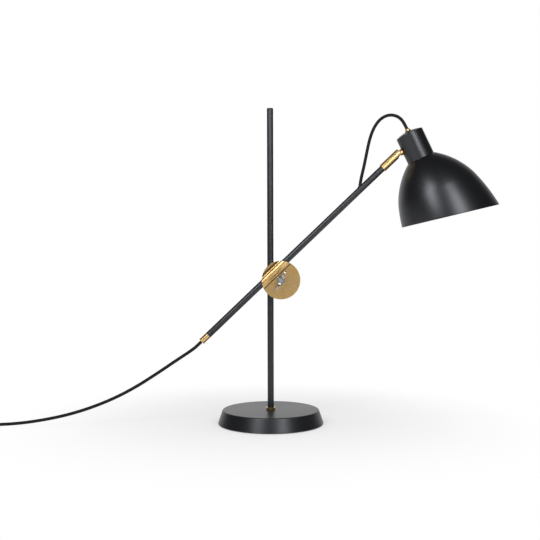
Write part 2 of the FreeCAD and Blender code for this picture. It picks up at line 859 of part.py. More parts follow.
def make_knuckle():
    sleeve_radius = S.sleeve_diameter / 2
    bore = tube_radius + S.sleeve_fit
    ball = S.ball_diameter / 2
    socket_start = ball_place - ball - 1
    sleeve = new_body("sleeve_body")
    revolve(
        sleeve,
        [
            (bore, sleeve_start),
            (sleeve_radius - 0.5, sleeve_start),
            (sleeve_radius, sleeve_start + 0.5),
            (sleeve_radius, sleeve_end - 0.4),
            (sleeve_radius - 0.4, sleeve_end),
            (ball + S.cord_fit, sleeve_end),
            (ball + S.cord_fit, socket_start),
            (bore - 1, socket_start),
            (bore - 1, S.arm_above + S.turning_gap),
            (bore, S.arm_above + S.turning_gap),
        ],
    )
    # the collar swings down, towards +X here, so the sleeve's end is cut away on that side
    swing = doc.addObject("Part::Cylinder", "swing_cut")
    bind(swing, "Radius", S.sleeve_diameter)
    bind(swing, "Height", S.collar_diameter + 1)
    bind(swing, "Angle", S.swing_down + 50)
    core = rod("swing_core", S.collar_start - S.turning_gap, S.sleeve_diameter * 2, (0, 0, 0))
    wedge = doc.addObject("Part::Cut", "swing_wedge")
    wedge.Base = swing
    wedge.Tool = core
    bind(core, "Placement.Base.z", -S.turning_gap)
    # the wedge starts along the arm (Z) and opens towards +X; its axis runs along Y
    along_arm = Rotation(Vector(0, 0, 1), Vector(1, 0, 0), Vector(0, 1, 0), "YZX")
    wedge.Placement = Placement(
        Vector(0, -(S.collar_diameter.value + 1) / 2, ball_place.value), along_arm
    )
    # a narrower slot goes on to the ball's middle for the stem
    slot_width = S.stem_diameter + 2 * S.turning_gap
    slot = doc.addObject("Part::Cylinder", "stem_slot")
    bind(slot, "Radius", S.sleeve_diameter)
    bind(slot, "Height", slot_width)
    bind(slot, "Angle", S.swing_down + 50)
    slot.Placement = Placement(Vector(0, -slot_width.value / 2, ball_place.value), along_arm)
    pin_hole = rod(
        "pin_hole",
        S.pin_diameter / 2,
        S.sleeve_diameter * 2,
        (0, -S.sleeve_diameter, ball_place),
        (0, 1, 0),
    )
    screw_z = sleeve_start + S.sleeve_screw_place
    screw_hole = rod(
        "sleeve_screw_hole", S.sleeve_screw_diameter / 2, S.sleeve_diameter, (0, 0, screw_z), (0, 1, 0)
    )
    keep("knuckle_sleeve", cut(sleeve, wedge, slot, pin_hole, screw_hole), ARM)
    across = Rotation(Vector(0, 0, 1), Vector(0, 1, 0))
    ring(
        "sleeve_screw",
        S.sleeve_screw_diameter,
        0,
        bore + 0.02,
        sleeve_radius - 0.1,
        ARM * Placement(Vector(0, 0, screw_z.value), across),
    )
    pin_end = sleeve_radius - 0.2
    pin_frame = ARM * Placement(Vector(0, 0, ball_place.value), across)
    ring("knuckle_pin", S.pin_diameter, 0, -pin_end, pin_end, pin_frame)


def make_stud():
    """The ball stud, its washer and its nut, in a frame whose Z runs from the ball along the stem."""
    ball = S.ball_diameter / 2
    stem = S.stem_diameter / 2
    collar_end = S.collar_start + S.collar_thickness
    wall_inside = collar_end + S.saddle_thickness + S.neck_wall
    stem_end = wall_inside + S.stud_nut_height + 1.2
    flat = root(ball * ball - stem * stem)
    body = new_body("stud_body")
    revolve(
        body,
        [
            (0, -ball),
            (stem, flat, ball),
            (stem, S.collar_start),
            (S.collar_diameter / 2 - 0.3, S.collar_start),
            (S.collar_diameter / 2, S.collar_start + 0.3),
            (S.collar_diameter / 2, collar_end),
            (stem, collar_end),
            (stem, stem_end),
            (0, stem_end),
        ],
    )
    hole = rod(
        "ball_hole", S.pin_diameter / 2 + S.pin_fit, S.ball_diameter * 2, (0, -S.ball_diameter, 0), (0, 1, 0)
    )
    keep("ball_stud", cut(body, hole), STUD)

    # the washer's far side is hollowed to the neck's round wall
    saddle = rod("saddle_disc", S.collar_diameter / 2 + 0.4, S.saddle_thickness + 1.2, (0, 0, collar_end))
    around = rod(
        "saddle_round",
        neck_radius,
        S.neck_height,
        (S.neck_height / 2, 0, collar_end + S.saddle_thickness + neck_radius),
        (-1, 0, 0),
    )
    through = rod("saddle_hole", stem + S.pin_fit, S.neck_height, (0, 0, 0))
    keep("stud_washer", cut(saddle, around, through), STUD)

    # the nut's corners would meet the round wall, so it stands a little in from it
    nut_start = wall_inside + 0.7
    hex_nut(
        "stud_nut",
        S.stud_nut_flats,
        S.stem_diameter + 2 * S.pin_fit,
        nut_start,
        nut_start + S.stud_nut_height,
        STUD,
    )
    return stem


# ---------------------------------------------------------------- head


def dome_radius(radius, rise):
    """The radius of a dome's arc from its edge to its apex."""
    return (radius * radius + rise * rise) / (2 * rise)


def arc_fall(arc, radius):
    """How far a dome lies under its apex at that radius."""
    return arc - root(arc * arc - radius * radius)


def make_neck(stem):
    """The neck cup: a straight wall under a shallow dome, with holes for the gland and the stud."""
    inner = neck_radius - S.neck_wall
    top = S.neck_height
    shank = S.gland_shank / 2 + S.pin_fit
    apex = top + S.neck_dome
    body = new_body("neck_body")
    revolve(
        body,
        [(0, 0), (neck_radius, 0), (neck_radius, top), (0, apex, dome_radius(neck_radius, S.neck_dome))],
    )
    revolve(
        body,
        [
            (0, 0),
            (inner, 0),
            (inner, top - S.neck_wall / 4),
            (0, apex - S.neck_wall, dome_radius(inner, S.neck_dome - 0.75 * S.neck_wall)),
        ],
        "Groove",
    )
    gland_hole = circle(sketch_on(body, "XY_Plane"), 0, 0, shank)
    feature(body, "Pocket", gland_hole, Type="ThroughAll", Midplane=True)
    stud_hole = rod(
        "neck_stud_hole", stem + S.pin_fit, neck_radius, (0 - neck_radius - 1, 0, S.stud_height), (1, 0, 0)
    )
    keep("neck_cup", cut(body, stud_hole), HEAD)

    # the gland's ring is hollowed to the dome, and the gland stands on the ring
    ring_radius = S.gland_ring_diameter / 2
    arc = dome_radius(neck_radius, S.neck_dome)
    turned(
        "gland_ring",
        [
            (shank, apex - arc_fall(arc, shank)),
            (ring_radius, apex - arc_fall(arc, ring_radius), -arc),
            (ring_radius, apex + S.gland_ring_thickness),
            (shank, apex + S.gland_ring_thickness),
        ],
        HEAD,
    )
    seat = apex + S.gland_ring_thickness
    gland_top = seat + S.gland_height
    bore = S.cord_diameter / 2 + S.cord_fit
    under = apex - S.neck_wall
    # the gland's shank screws into the floor of the lampholder's cap
    shank_end = S.holder_cap_top - S.holder_cap_floor
    turned(
        "neck_gland",
        [
            (bore, shank_end),
            (S.gland_shank / 2, shank_end),
            (S.gland_shank / 2, seat),
            (S.gland_diameter / 2, seat),
            (S.gland_diameter / 2, gland_top - 1),
            (S.gland_diameter / 2 - 0.8, gland_top),
            (bore, gland_top),
        ],
        HEAD,
    )
    nut_top = under - 0.3
    hex_nut(
        "gland_nut", S.gland_nut_flats, S.gland_shank + 0.1, nut_top - S.gland_nut_height, nut_top, HEAD
    )
    return gland_top


def arc_centre(first, last, radius):
    """The centre of the arc that outline draws from first to last with a positive radius."""
    across = (last[0] - first[0]) / 2
    along = (last[1] - first[1]) / 2
    squared = across * across + along * along
    reach = root((radius * radius - squared) / squared)
    return first[0] + across - along * reach, first[1] + along + across * reach


def make_shade():
    """The spun bell: two tangent arcs and a flat top with the lampholder's hole, cut off aslant."""
    wall = S.shade_wall
    mouth = (S.shade_mouth_diameter / 2, -S.shade_depth)
    shoulder = (S.shade_shoulder_diameter / 2, -S.shade_shoulder_depth)
    top = (S.shade_top_diameter / 2, as_size(0))
    body = new_body("shade")
    revolve(
        body,
        [
            (0, -S.shade_depth),
            mouth,
            (*shoulder, S.shade_flank_radius),
            (*top, S.shade_shoulder_radius),
            (0, 0),
        ],
    )
    # the inside's two arcs have the outside's centres, and end on the underside of the flat top
    flank = arc_centre(mouth, shoulder, S.shade_flank_radius)
    crown = arc_centre(shoulder, top, S.shade_shoulder_radius)
    share = wall / S.shade_flank_radius
    low = [a + (b - a) * share for a, b in zip(mouth, flank)]
    knee = [a + (b - a) * share for a, b in zip(shoulder, flank)]
    inner_crown = S.shade_shoulder_radius - wall
    fall = crown[1] + wall
    inner_top = crown[0] + root(inner_crown * inner_crown - fall * fall)
    revolve(
        body,
        [
            (0, low[1]),
            low,
            (*knee, S.shade_flank_radius - wall),
            (inner_top, -wall, inner_crown),
            (0, -wall),
        ],
        "Groove",
    )
    hole = circle(sketch_on(body, "XY_Plane"), 0, 0, S.shade_hole_diameter / 2)
    feature(body, "Pocket", hole, Length=S.shade_wall * 2, Midplane=True)
    # the mouth's plane crosses the axis at rim_depth and rises towards -X
    reach = S.shade_mouth_diameter
    slope = math.tan(math.radians(S.rim_slant.value))
    away = sketch_on(body, "XZ_Plane")
    outline(
        away,
        [
            (-reach, slope * reach - S.rim_depth),
            (-reach, -2 * S.shade_depth),
            (reach, -2 * S.shade_depth),
            (reach, -slope * reach - S.rim_depth),
        ],
    )
    feature(body, "Pocket", away, Type="ThroughAll", Midplane=True)
    return keep("shade", body, HEAD)


def make_lampholder():
    """The lampholder hangs on the gland, and its ring clamps the shade's top under the neck."""
    radius = S.holder_diameter / 2
    inside = radius - S.holder_wall
    low = -(S.holder_below + S.shade_wall)
    high = S.holder_above
    ledge = high - S.insert_thickness
    turned(
        "holder_body",
        [
            (inside, low),
            (radius, low),
            (radius, 0.1),
            (S.holder_flange / 2, 0.1),
            (S.holder_flange / 2, S.holder_flange_thickness),
            (radius, S.holder_flange_thickness),
            (radius, high),
            (inside, high),
        ],
        HEAD,
    )
    under = -(S.shade_wall + 0.1)
    turned(
        "shade_ring",
        [
            (radius + 0.1, under - S.shade_ring_height),
            (radius + 2.2, under - S.shade_ring_height),
            (radius + 2.2, under - 2),
            (S.shade_ring_diameter / 2, under - 1.5),
            (S.shade_ring_diameter / 2, under),
            (radius + 0.1, under),
        ],
        HEAD,
    )
    # the cap closes the holder, and the gland is screwed into its floor
    cap_top = S.holder_cap_top
    shank = S.gland_shank / 2 + S.pin_fit
    turned(
        "holder_cap",
        [
            (radius, high),
            (radius, cap_top - 6),
            (radius - 8, cap_top),
            (shank, cap_top),
            (shank, cap_top - S.holder_cap_floor),
            (radius - 9, cap_top - S.holder_cap_floor),
            (inside, cap_top - 8),
            (inside, high),
        ],
        HEAD,
    )
    # the insert carries the screw shell and the centre contact
    turned(
        "holder_insert",
        [
            (0, ledge),
            (S.contact_diameter / 2, ledge),
            (inside - 0.05, ledge),
            (inside - 0.05, high),
            (0, high),
        ],
        HEAD,
    )
    shell = S.shell_diameter / 2
    shell_low = ledge - S.shell_height
    turned(
        "screw_shell",
        [
            (shell - S.shell_wall, shell_low),
            (shell + 1.2, shell_low),
            (shell + 1.2, shell_low + S.shell_wall),
            (shell, shell_low + S.shell_wall),
            (shell, ledge),
            (shell - S.shell_wall, ledge),
        ],
        HEAD,
    )
    contact_low = ledge - S.contact_height
    ring("centre_contact", S.contact_diameter, 0, contact_low, ledge, HEAD)

    # the bulb: a metal cap up to the contact, and a pear-shaped envelope
    cap = S.bulb_cap_diameter / 2
    cap_top_z = contact_low - 0.1
    cap_low = cap_top_z - S.bulb_cap_height
    wall = S.bulb_cap_wall
    turned(
        "bulb_cap",
        [
            (cap - wall, cap_low),
            (cap, cap_low),
            (cap, cap_top_z - 4),
            (cap * 0.4, cap_top_z),
            (0, cap_top_z),
            (0, cap_top_z - 1),
            (cap * 0.36, cap_top_z - 1),
            (cap - wall, cap_top_z - 4.4),
        ],
        HEAD,
    )
    globe = S.bulb_diameter / 2
    neck = cap - wall - 0.1
    centre = cap_low - (S.bulb_length - globe)
    waist = 0.78 * globe
    rise = root(globe * globe - waist * waist)
    glass = S.bulb_glass_wall
    inner = globe - glass
    turned(
        "bulb_glass",
        [
            (neck - glass, cap_low + 6),
            (neck - glass, cap_low - 3),
            (waist - glass, centre + rise - glass / 2),
            (inner, centre, -inner),
            (0, centre - inner, -inner),
            (0, centre - globe),
            (globe, centre, globe),
            (waist, centre + rise, globe),
            (neck, cap_low - 3),
            (neck, cap_low + 6),
        ],
        HEAD,
    )


# ---------------------------------------------------------------- cord


def rounded_route(points):
    """Straight runs joined by tangent arcs, each as large as its two runs allow."""
    points = [Vector(*p) for p in points]
    edges = []
    radii = []
    start = points[0]
    for before, corner, after in zip(points, points[1:], points[2:]):
        back = (before - corner).normalize()
        ahead = (after - corner).normalize()
        turn = math.pi - back.getAngle(ahead)
        shorter = min((before - corner).Length, (after - corner).Length)
        trim = 0.45 * shorter
        radii.append(trim / math.tan(turn / 2))
        first = corner + back * trim
        last = corner + ahead * trim
        rise = radii[-1] * (1 / math.cos(turn / 2) - 1)
        middle = corner + (back + ahead).normalize() * rise
        edges.append(Part.LineSegment(start, first).toShape())
        edges.append(Part.Arc(first, middle, last).toShape())
        start = last
    edges.append(Part.LineSegment(start, points[-1]).toShape())
    return Part.Wire(edges), radii


def sweep(wire, diameter):
    """A round tube along a wire."""
    first = wire.Edges[0]
    start = first.valueAt(first.FirstParameter)
    way = first.tangentAt(first.FirstParameter)
    section = Part.Wire(Part.makeCircle(diameter / 2, start, way))
    return wire.makePipeShell([section], True, False)


def cord_piece(label, shape, length):
    """Keeps a cord's solid, after comparing its volume with its section times its length."""
    expected = math.pi * S.cord_diameter.value**2 / 4 * length
    if abs(shape.Volume / expected - 1) > 0.01:
        raise ValueError(f"{label}: its volume is {shape.Volume:.0f}, and {expected:.0f} is expected")
    obj = doc.addObject("Part::Feature", label)
    obj.Shape = shape
    return keep(label, obj)


def free_cord(label, points):
    wire, radii = rounded_route(points)
    print(f"{label}: {wire.Length:.0f} mm, radii {' '.join(f'{r:.0f}' for r in radii)}")
    cord_piece(label, sweep(wire, S.cord_diameter.value), wire.Length)
    return wire.Length


def biarc(p0, t0, p1, t1):
    """Two tangent arcs from p0, along t0, to p1, along t1."""
    v = p1 - p0
    t = t0 + t1
    k = 2 * (1 - t0.dot(t1))
    reach = (math.sqrt(v.dot(t) ** 2 + k * v.dot(v)) - v.dot(t)) / k
    middle = (p0 + p1 + (t0 - t1) * reach) * 0.5
    edges = []
    for start, corner, end in ((p0, p0 + t0 * reach, middle), (middle, p1 - t1 * reach, p1)):
        chord = (start + end) * 0.5
        half = (end - start).Length / 2
        out = corner - chord
        angle = math.atan2(out.Length, half)
        top = chord + out.normalize() * (half * math.tan(angle / 2))
        edges.append(Part.Arc(start, top, end).toShape())
    return edges


def coil_point(turns):
    """A point of the coil's middle line, that many turns from its start at the front."""
    inward = S.coil_turns_in.value
    pitch = S.coil_pitch.value
    floor = S.cord_diameter.value / 2 + S.cord_rest.value
    inner = S.coil_outer_radius.value - pitch * inward
    past = turns - inward
    if past <= 0:
        radius, climb = S.coil_outer_radius.value - pitch * turns, 0
    elif past < 0.5:
        # the half turn in which the spiral reverses and climbs onto the first layer
        share = past / 0.5
        radius = inner - pitch * past + 2 * pitch * past * past
        climb = share * share * (3 - 2 * share)
    else:
        radius, climb = inner + pitch * (past - 0.5), 1
    angle = -math.pi / 2 - 2 * math.pi * turns
    centre_y = S.coil_y.value + S.coil_outer_radius.value
    return Vector(
        S.coil_x.value + radius * math.cos(angle),
        centre_y + radius * math.sin(angle),
        floor + S.coil_layer_rise.value * climb,
    )


def coil_turns():
    return 2 * S.coil_turns_in.value + 0.5


def self_gap(wire, diameter):
    """The least gap between two stretches of a tube, from points along its middle line."""
    points = wire.discretize(Distance=diameter / 3)
    step = wire.Length / (len(points) - 1)
    apart = int(3 * diameter / step)
    least = min(
        (a - b).Length for n, a in enumerate(points) for b in points[n + apart :]
    )
    return least - diameter


def make_coil():
    """The put-away length: one tube that spirals in on the floor and out again on a second layer."""
    straight = Vector(-S.cord_diameter.value, 0, 0)
    quarters = round(coil_turns() * 4)
    places = [coil_point(n / 4) for n in range(quarters + 1)]
    ways = [(coil_point(n / 4 + 1e-4) - coil_point(n / 4 - 1e-4)).normalize() for n in range(quarters + 1)]
    ways[0] = ways[-1] = Vector(-1, 0, 0)
    edges = [Part.LineSegment(places[0] - straight, places[0]).toShape()]
    for n in range(quarters):
        edges += biarc(places[n], ways[n], places[n + 1], ways[n + 1])
    edges.append(Part.LineSegment(places[-1], places[-1] + straight).toShape())
    wire = Part.Wire(edges)
    diameter = S.cord_diameter.value
    print(f"cord_coil: {wire.Length:.0f} mm, least gap to itself {self_gap(wire, diameter):.2f} mm")
    cord_piece("cord_coil", sweep(wire, diameter), wire.Length)
    return places[0] - straight, places[-1] + straight


def make_arm_lead(plug_end):
    """The lead inside the arm: along the tube's axis and out through the slanted grommet."""
    point, way = lead_hole()
    bend = 3.5
    exit_reach = (tube_radius + S.grommet_stand).value / math.sin(math.radians(S.lead_hole_slant.value))
    start = Vector(0, 0, plug_end.value)
    first = point - Vector(0, 0, bend)
    last = point + way * bend
    back = Vector(0, 0, -1)
    turn = math.pi - back.getAngle(way)
    radius = bend / math.tan(turn / 2)
    middle = point + (back + way).normalize() * (radius * (1 / math.cos(turn / 2) - 1))
    end = point + way * exit_reach
    edges = [
        Part.LineSegment(start, first).toShape(),
        Part.Arc(first, middle, last).toShape(),
        Part.LineSegment(last, end).toShape(),
    ]
    wire = Part.Wire(edges)
    print(f"arm_lead: {wire.Length:.0f} mm, radius {radius:.0f}")
    cord_piece("arm_lead", sweep(wire, S.cord_diameter.value), wire.Length)
    PARTS["arm_lead"].Placement = ARM
    return ARM.multVec(start), ARM.multVec(end), ARM.Rotation.multVec(way)


def make_cords(plug_end, gland_top):
    """Every stretch of the cord as far as the coil's upper end."""
    tail_start, loop_start, loop_way = make_arm_lead(plug_end)
    join = S.cord_join.value
    ring("holder_lead", S.cord_diameter, 0, S.holder_cap_top - S.holder_cap_floor - 5, gland_top, HEAD)

    gland = HEAD.multVec(Vector(0, 0, gland_top.value + join))
    above = HEAD.multVec(Vector(0, 0, gland_top.value + join + 11))
    loop = [loop_start, loop_start + loop_way * 15, *LOOP_ROUTE, above, gland]
    free_cord("upper_loop", loop)

    coil_start, coil_end = make_coil()
    tail = [tail_start - arm_way * join, *TAIL_ROUTE, coil_start]
    free_cord("tail_cord", tail)
    return coil_end


# ---------------------------------------------------------------- switch and plug on the cord


def switch_shell(label, low, high, floor_low, floor_high, seam):
    """Half of the switch's case: a rounded box with a room in it and the cord's two holes."""
    half = S.switch_length / 2
    wide = S.switch_width / 2
    wall = S.switch_wall
    outer = low if label == "switch_bottom" else high
    body = new_body(label)
    box = rectangle(sketch_on(body, "XY_Plane", low), -half, -wide, half, wide)
    feature(body, "Pad", box, Length=high - low)
    tall = (high - low).value - 1e-4
    dress(body, "Fillet", S.switch_corner, lambda edge: edge.BoundBox.ZLength > tall)
    dress(body, "Chamfer", S.switch_edge, lambda edge: lies_at(edge, "Z", outer))
    room = sketch_on(body, "XY_Plane", floor_low)
    rectangle(room, wall - half, wall - wide, half - wall, wide - wall)
    feature(body, "Pocket", room, Length=floor_high - floor_low, Reversed=True)
    cord_hole = circle(sketch_on(body, "YZ_Plane"), 0, seam, S.cord_diameter / 2 + S.cord_fit)
    feature(body, "Pocket", cord_hole, Type="ThroughAll", Midplane=True)
    return body


def screw_places(sketch, radius):
    """Two circles where the switch's screws are."""
    for side in (-1, 1):
        circle(sketch, S.switch_screw_spacing / 2 * side, S.switch_width * 0.275, radius)
    return sketch


def make_switch(coil_end):
    """An in-line switch on the floor: two shells, a rocker on its axle, and two screws from below."""
    start = coil_end.x - S.switch_lead.value
    free_cord(
        "switch_lead",
        [
            coil_end,
            coil_end + Vector(-9, 0, 0),
            coil_end + Vector(-19, -0.4, 0.1),
            (start, coil_end.y, coil_end.z),
        ],
    )
    # the switch's own frame: X towards its coil end, Z up, and its origin on the floor in its middle
    seam = S.cord_diameter / 2 + S.cord_rest + S.coil_layer_rise
    frame = Placement(Vector(start - S.switch_length.value / 2, coil_end.y, 0), Rotation())
    top = S.switch_height
    wall = S.switch_wall
    screw = S.switch_screw_diameter / 2

    bottom = switch_shell("switch_bottom", as_size(0), seam, wall, seam, seam)
    pillars = screw_places(sketch_on(bottom, "XY_Plane", wall), screw + wall)
    feature(bottom, "Pad", pillars, Length=seam - wall)
    holes = screw_places(sketch_on(bottom, "XY_Plane"), screw + S.cord_fit)
    feature(bottom, "Pocket", holes, Type="ThroughAll", Midplane=True)
    keep("switch_bottom", bottom, frame)

    upper = switch_shell("switch_top", seam, top, seam, top - wall, seam)
    axle_z = top - S.rocker_axle_depth
    ear_start = S.rocker_width / 2 + S.rocker_gap
    ear_end = ear_start + S.rocker_ear
    ears = sketch_on(upper, "XY_Plane", axle_z - S.rocker_axle)
    rectangle(ears, -S.rocker_axle, ear_start, S.rocker_axle, ear_end)
    rectangle(ears, -S.rocker_axle, -ear_end, S.rocker_axle, -ear_start)
    feature(upper, "Pad", ears, Length=top - wall / 2 - axle_z + S.rocker_axle)
    pillars = screw_places(sketch_on(upper, "XY_Plane", seam), screw + wall)
    feature(upper, "Pad", pillars, Length=top - wall / 2 - seam)
    bores = screw_places(sketch_on(upper, "XY_Plane", seam), screw + S.pin_fit)
    feature(upper, "Pocket", bores, Length=top - wall * 1.5 - seam, Reversed=True)
    reach = S.rocker_length / 2
    window = sketch_on(upper, "XY_Plane", top - wall)
    rectangle(window, -reach - S.rocker_gap, -ear_start, reach + S.rocker_gap, ear_start)
    feature(upper, "Pocket", window, Length=wall * 2, Reversed=True)
    journal = circle(sketch_on(upper, "XZ_Plane"), 0, axle_z, S.rocker_axle / 2 + S.pin_fit)
    feature(upper, "Pocket", journal, Length=2 * ear_end - 0.4, Midplane=True)
    keep("switch_top", upper, frame)

    rocker = new_body("switch_rocker")
    crown = S.rocker_axle_depth + S.rocker_proud
    face = outline(
        sketch_on(rocker, "XZ_Plane"),
        [
            (-0.72 * reach, -S.rocker_depth),
            (0.72 * reach, -S.rocker_depth),
            (0.97 * reach, 0),
            (0.97 * reach, crown - 0.6),
            (0.9 * reach, crown),
            (0, crown - 1.2),
            (-0.9 * reach, crown),
            (-0.97 * reach, crown - 0.6),
            (-0.97 * reach, 0),
        ],
    )
    feature(rocker, "Pad", face, Length=S.rocker_width, Midplane=True)
    axle = circle(sketch_on(rocker, "XZ_Plane"), 0, 0, S.rocker_axle / 2)
    feature(rocker, "Pad", axle, Length=2 * ear_end - 0.8, Midplane=True)
    axle_place = Placement(Vector(0, 0, axle_z.value), turn_y(S.rocker_tilt.value))
    keep("switch_rocker", rocker, frame * axle_place)

    screws = doc.addObject("Part::Compound", "switch_screws")
    screws.Links = [
        rod(
            f"switch_screw_{n}",
            screw,
            top - wall * 2 - 0.5,
            (S.switch_screw_spacing / 2 * side, S.switch_width * 0.275, 0.3),
        )
        for n, side in enumerate((-1, 1))
    ]
    keep("switch_screws", screws, frame)
    print(f"switch: middle {tuple(frame.Base)}, axle at z {axle_z.value:.2f}")
    return Vector(start - S.switch_length.value, coil_end.y, coil_end.z)


def make_plug(switch_end):
    """A flat two-pin plug that lies on the floor, with its pins towards +Y."""
    half_thick = S.plug_thickness / 2
    grip_start = Vector(*PLUG_PLACE, half_thick.value)
    route = [
        switch_end,
        switch_end + Vector(-20, 0, -0.2),
        *PLUG_ROUTE,
        grip_start,
    ]
    free_cord("plug_lead", route)
    # the plug's own frame: +X along its pins, and its axis at half its thickness
    frame = Placement(grip_start, Rotation(Vector(0, 0, 1), 90))
    wide = S.plug_width / 2
    grip = S.plug_grip_diameter / 2
    body_start = S.plug_grip_length
    body_end = S.plug_grip_length + S.plug_length
    body = new_body("plug_body")
    shape = outline(
        sketch_on(body, "XY_Plane", -half_thick),
        [
            (body_start, -grip),
            (body_start + S.plug_length * 0.45, -wide),
            (body_end, -wide * 0.94),
            (body_end, wide * 0.94),
            (body_start + S.plug_length * 0.45, wide),
            (body_start, grip),
        ],
    )
    feature(body, "Pad", shape, Length=S.plug_thickness)
    dress(
        body,
        "Fillet",
        S.plug_corner / 2,
        lambda edge: body_start.value < edge.BoundBox.XMax < body_end.value - 0.01,
    )
    sleeve = circle(sketch_on(body, "YZ_Plane", 0), 0, 0, grip)
    feature(body, "Pad", sleeve, Length=body_start + S.plug_length * 0.4)
    way_in = circle(sketch_on(body, "YZ_Plane"), 0, 0, S.cord_diameter / 2 + S.cord_fit)
    feature(body, "Pocket", way_in, Length=body_start * 0.8, Reversed=True)
    sockets = sketch_on(body, "YZ_Plane", body_end)
    for side in (-1, 1):
        circle(sockets, S.plug_pin_spacing / 2 * side, 0, S.plug_shank_diameter / 2 + S.pin_fit)
    feature(body, "Pocket", sockets, Length=S.plug_shank_depth)
    keep("plug_body", body, frame)

    # each pin stands on a thinner shank that is moulded into the body
    shank_start = body_end - S.plug_shank_depth
    shoulder = body_end + S.turning_gap
    pins = doc.addObject("Part::Compound", "plug_pins")
    links = []
    for n, side in enumerate((-1, 1)):
        off = S.plug_pin_spacing / 2 * side
        shank = rod(
            f"plug_shank_{n}",
            S.plug_shank_diameter / 2,
            shoulder - shank_start,
            (shank_start, off, 0),
            (1, 0, 0),
        )
        free = rod(
            f"plug_pin_{n}",
            S.plug_pin_diameter / 2,
            S.plug_pin_length - S.turning_gap,
            (shoulder, off, 0),
            (1, 0, 0),
        )
        pin = doc.addObject("Part::Fuse", f"plug_pin_whole_{n}")
        pin.Base = shank
        pin.Tool = free
        links.append(pin)
    pins.Links = links
    keep("plug_pins", pins, frame)


# ---------------------------------------------------------------- the whole lamp


def main():
    shank_end, bush_floor = make_base()
    make_post(shank_end, bush_floor)
    nut_seat = make_clamp()
    plug_end = make_arm()
    make_knuckle()
    stem = make_stud()
    gland_top = make_neck(stem)
    make_shade()
    make_lampholder()
    coil_end = make_cords(plug_end, gland_top)
    switch_end = make_switch(coil_end)
    make_plug(switch_end)
    doc.recompute()

    for obj in doc.Objects:
        if {"Invalid", "Error"} & set(obj.State):
            raise RuntimeError(f"{obj.Name} failed: {obj.State} {obj.getStatusString()}")
    for label, obj in PARTS.items():
        if obj.Shape.isNull() or not obj.Shape.isValid() or not obj.Shape.Solids:
            raise RuntimeError(f"{label} has no valid solid")

    os.makedirs("parts", exist_ok=True)
    for label, obj in PARTS.items():
        obj.Shape.exportStep(f"parts/{label}.step")
    print(f"{len(PARTS)} parts")
    print(f"bolt {tuple(bolt_point)}, arm origin {tuple(arm_origin)}, ball {tuple(ball_point)}")
    print(f"head origin {tuple(head_origin)}, wing nut seat at y {-nut_seat.value:.2f}")


main()
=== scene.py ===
"""The looks of a table lamp whose slanted arm is held on an upright post by a round brass clamp.

Everything is in metres, in the lamp's own frame: +Z up along the post, +X the way the arm rises, and -Y the
side that the wing nut is on. The lamp stands on z = 0.
"""

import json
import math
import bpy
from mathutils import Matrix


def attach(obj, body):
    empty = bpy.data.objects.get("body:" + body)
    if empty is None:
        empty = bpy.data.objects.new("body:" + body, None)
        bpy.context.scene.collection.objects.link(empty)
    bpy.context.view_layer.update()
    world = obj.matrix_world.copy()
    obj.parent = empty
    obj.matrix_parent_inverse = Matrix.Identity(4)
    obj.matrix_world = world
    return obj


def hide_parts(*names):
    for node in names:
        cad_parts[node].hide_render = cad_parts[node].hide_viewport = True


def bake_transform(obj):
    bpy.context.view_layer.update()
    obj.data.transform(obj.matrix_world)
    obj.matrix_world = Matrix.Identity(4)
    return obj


bl_info = {
    "name": "Clamp-arm table lamp",
    "version": (1, 0, 0),
    "blender": (4, 5, 0),
    "location": "View3D > Sidebar > Lamp",
    "description": "Finishes for the lamp's metal, its spun shade, its braided cord and its stage",
    "category": "Object",
}

import bmesh
import bpy
from bpy.props import FloatProperty, FloatVectorProperty, IntProperty, PointerProperty
from mathutils import Matrix, Vector

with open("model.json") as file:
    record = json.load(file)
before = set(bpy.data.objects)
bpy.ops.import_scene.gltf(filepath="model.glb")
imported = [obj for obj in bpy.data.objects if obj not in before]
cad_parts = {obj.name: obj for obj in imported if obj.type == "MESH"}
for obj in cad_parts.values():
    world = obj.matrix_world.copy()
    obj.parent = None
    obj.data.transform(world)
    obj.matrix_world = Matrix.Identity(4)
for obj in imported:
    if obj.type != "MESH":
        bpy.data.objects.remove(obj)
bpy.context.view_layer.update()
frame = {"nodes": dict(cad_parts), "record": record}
RECORD = frame["record"]
SLOT_OF = {part["node"]: part["material_slot"] for part in RECORD["subparts"]}
BODY_OF = {node: body for body, nodes in RECORD["behaviour"]["bodies"].items() for node in nodes}

# The frames of the arm, the clamp bolt and the head, and the sizes that the added pieces need
ARM = Matrix.Translation((0.0061455, -0.0183, 0.2878386)) @ Matrix.Rotation(math.radians(46.4), 4, "Y")
BOLT = Matrix.Translation((0.0198, 0.0, 0.2735)) @ Matrix.Rotation(math.radians(90), 4, "X")
HEAD = Matrix.Translation((0.2826573, -0.0183, 0.5006987)) @ Matrix.Rotation(math.radians(-25.4), 4, "Y")
CORD_RADIUS = 0.003
SWITCH_HEIGHT = 0.00965
GLAND_TOP = 0.0612
LEAD_HOLE = 0.222
LEAD_SLANT = math.radians(46.4)
LEAD_TURN = math.radians(48.0)

# Where the cord lies on the table, where the tail and the loop start and end, and where the tail is cut
CORD_LYING = 0.00305
TAIL_START = (-0.1815, -0.1905)
LOOP_START = (0.006, 0.025)
LOOP_END = (0.0113, -0.0030)
TAIL_CUTS = (0.105, 0.245, 0.455)

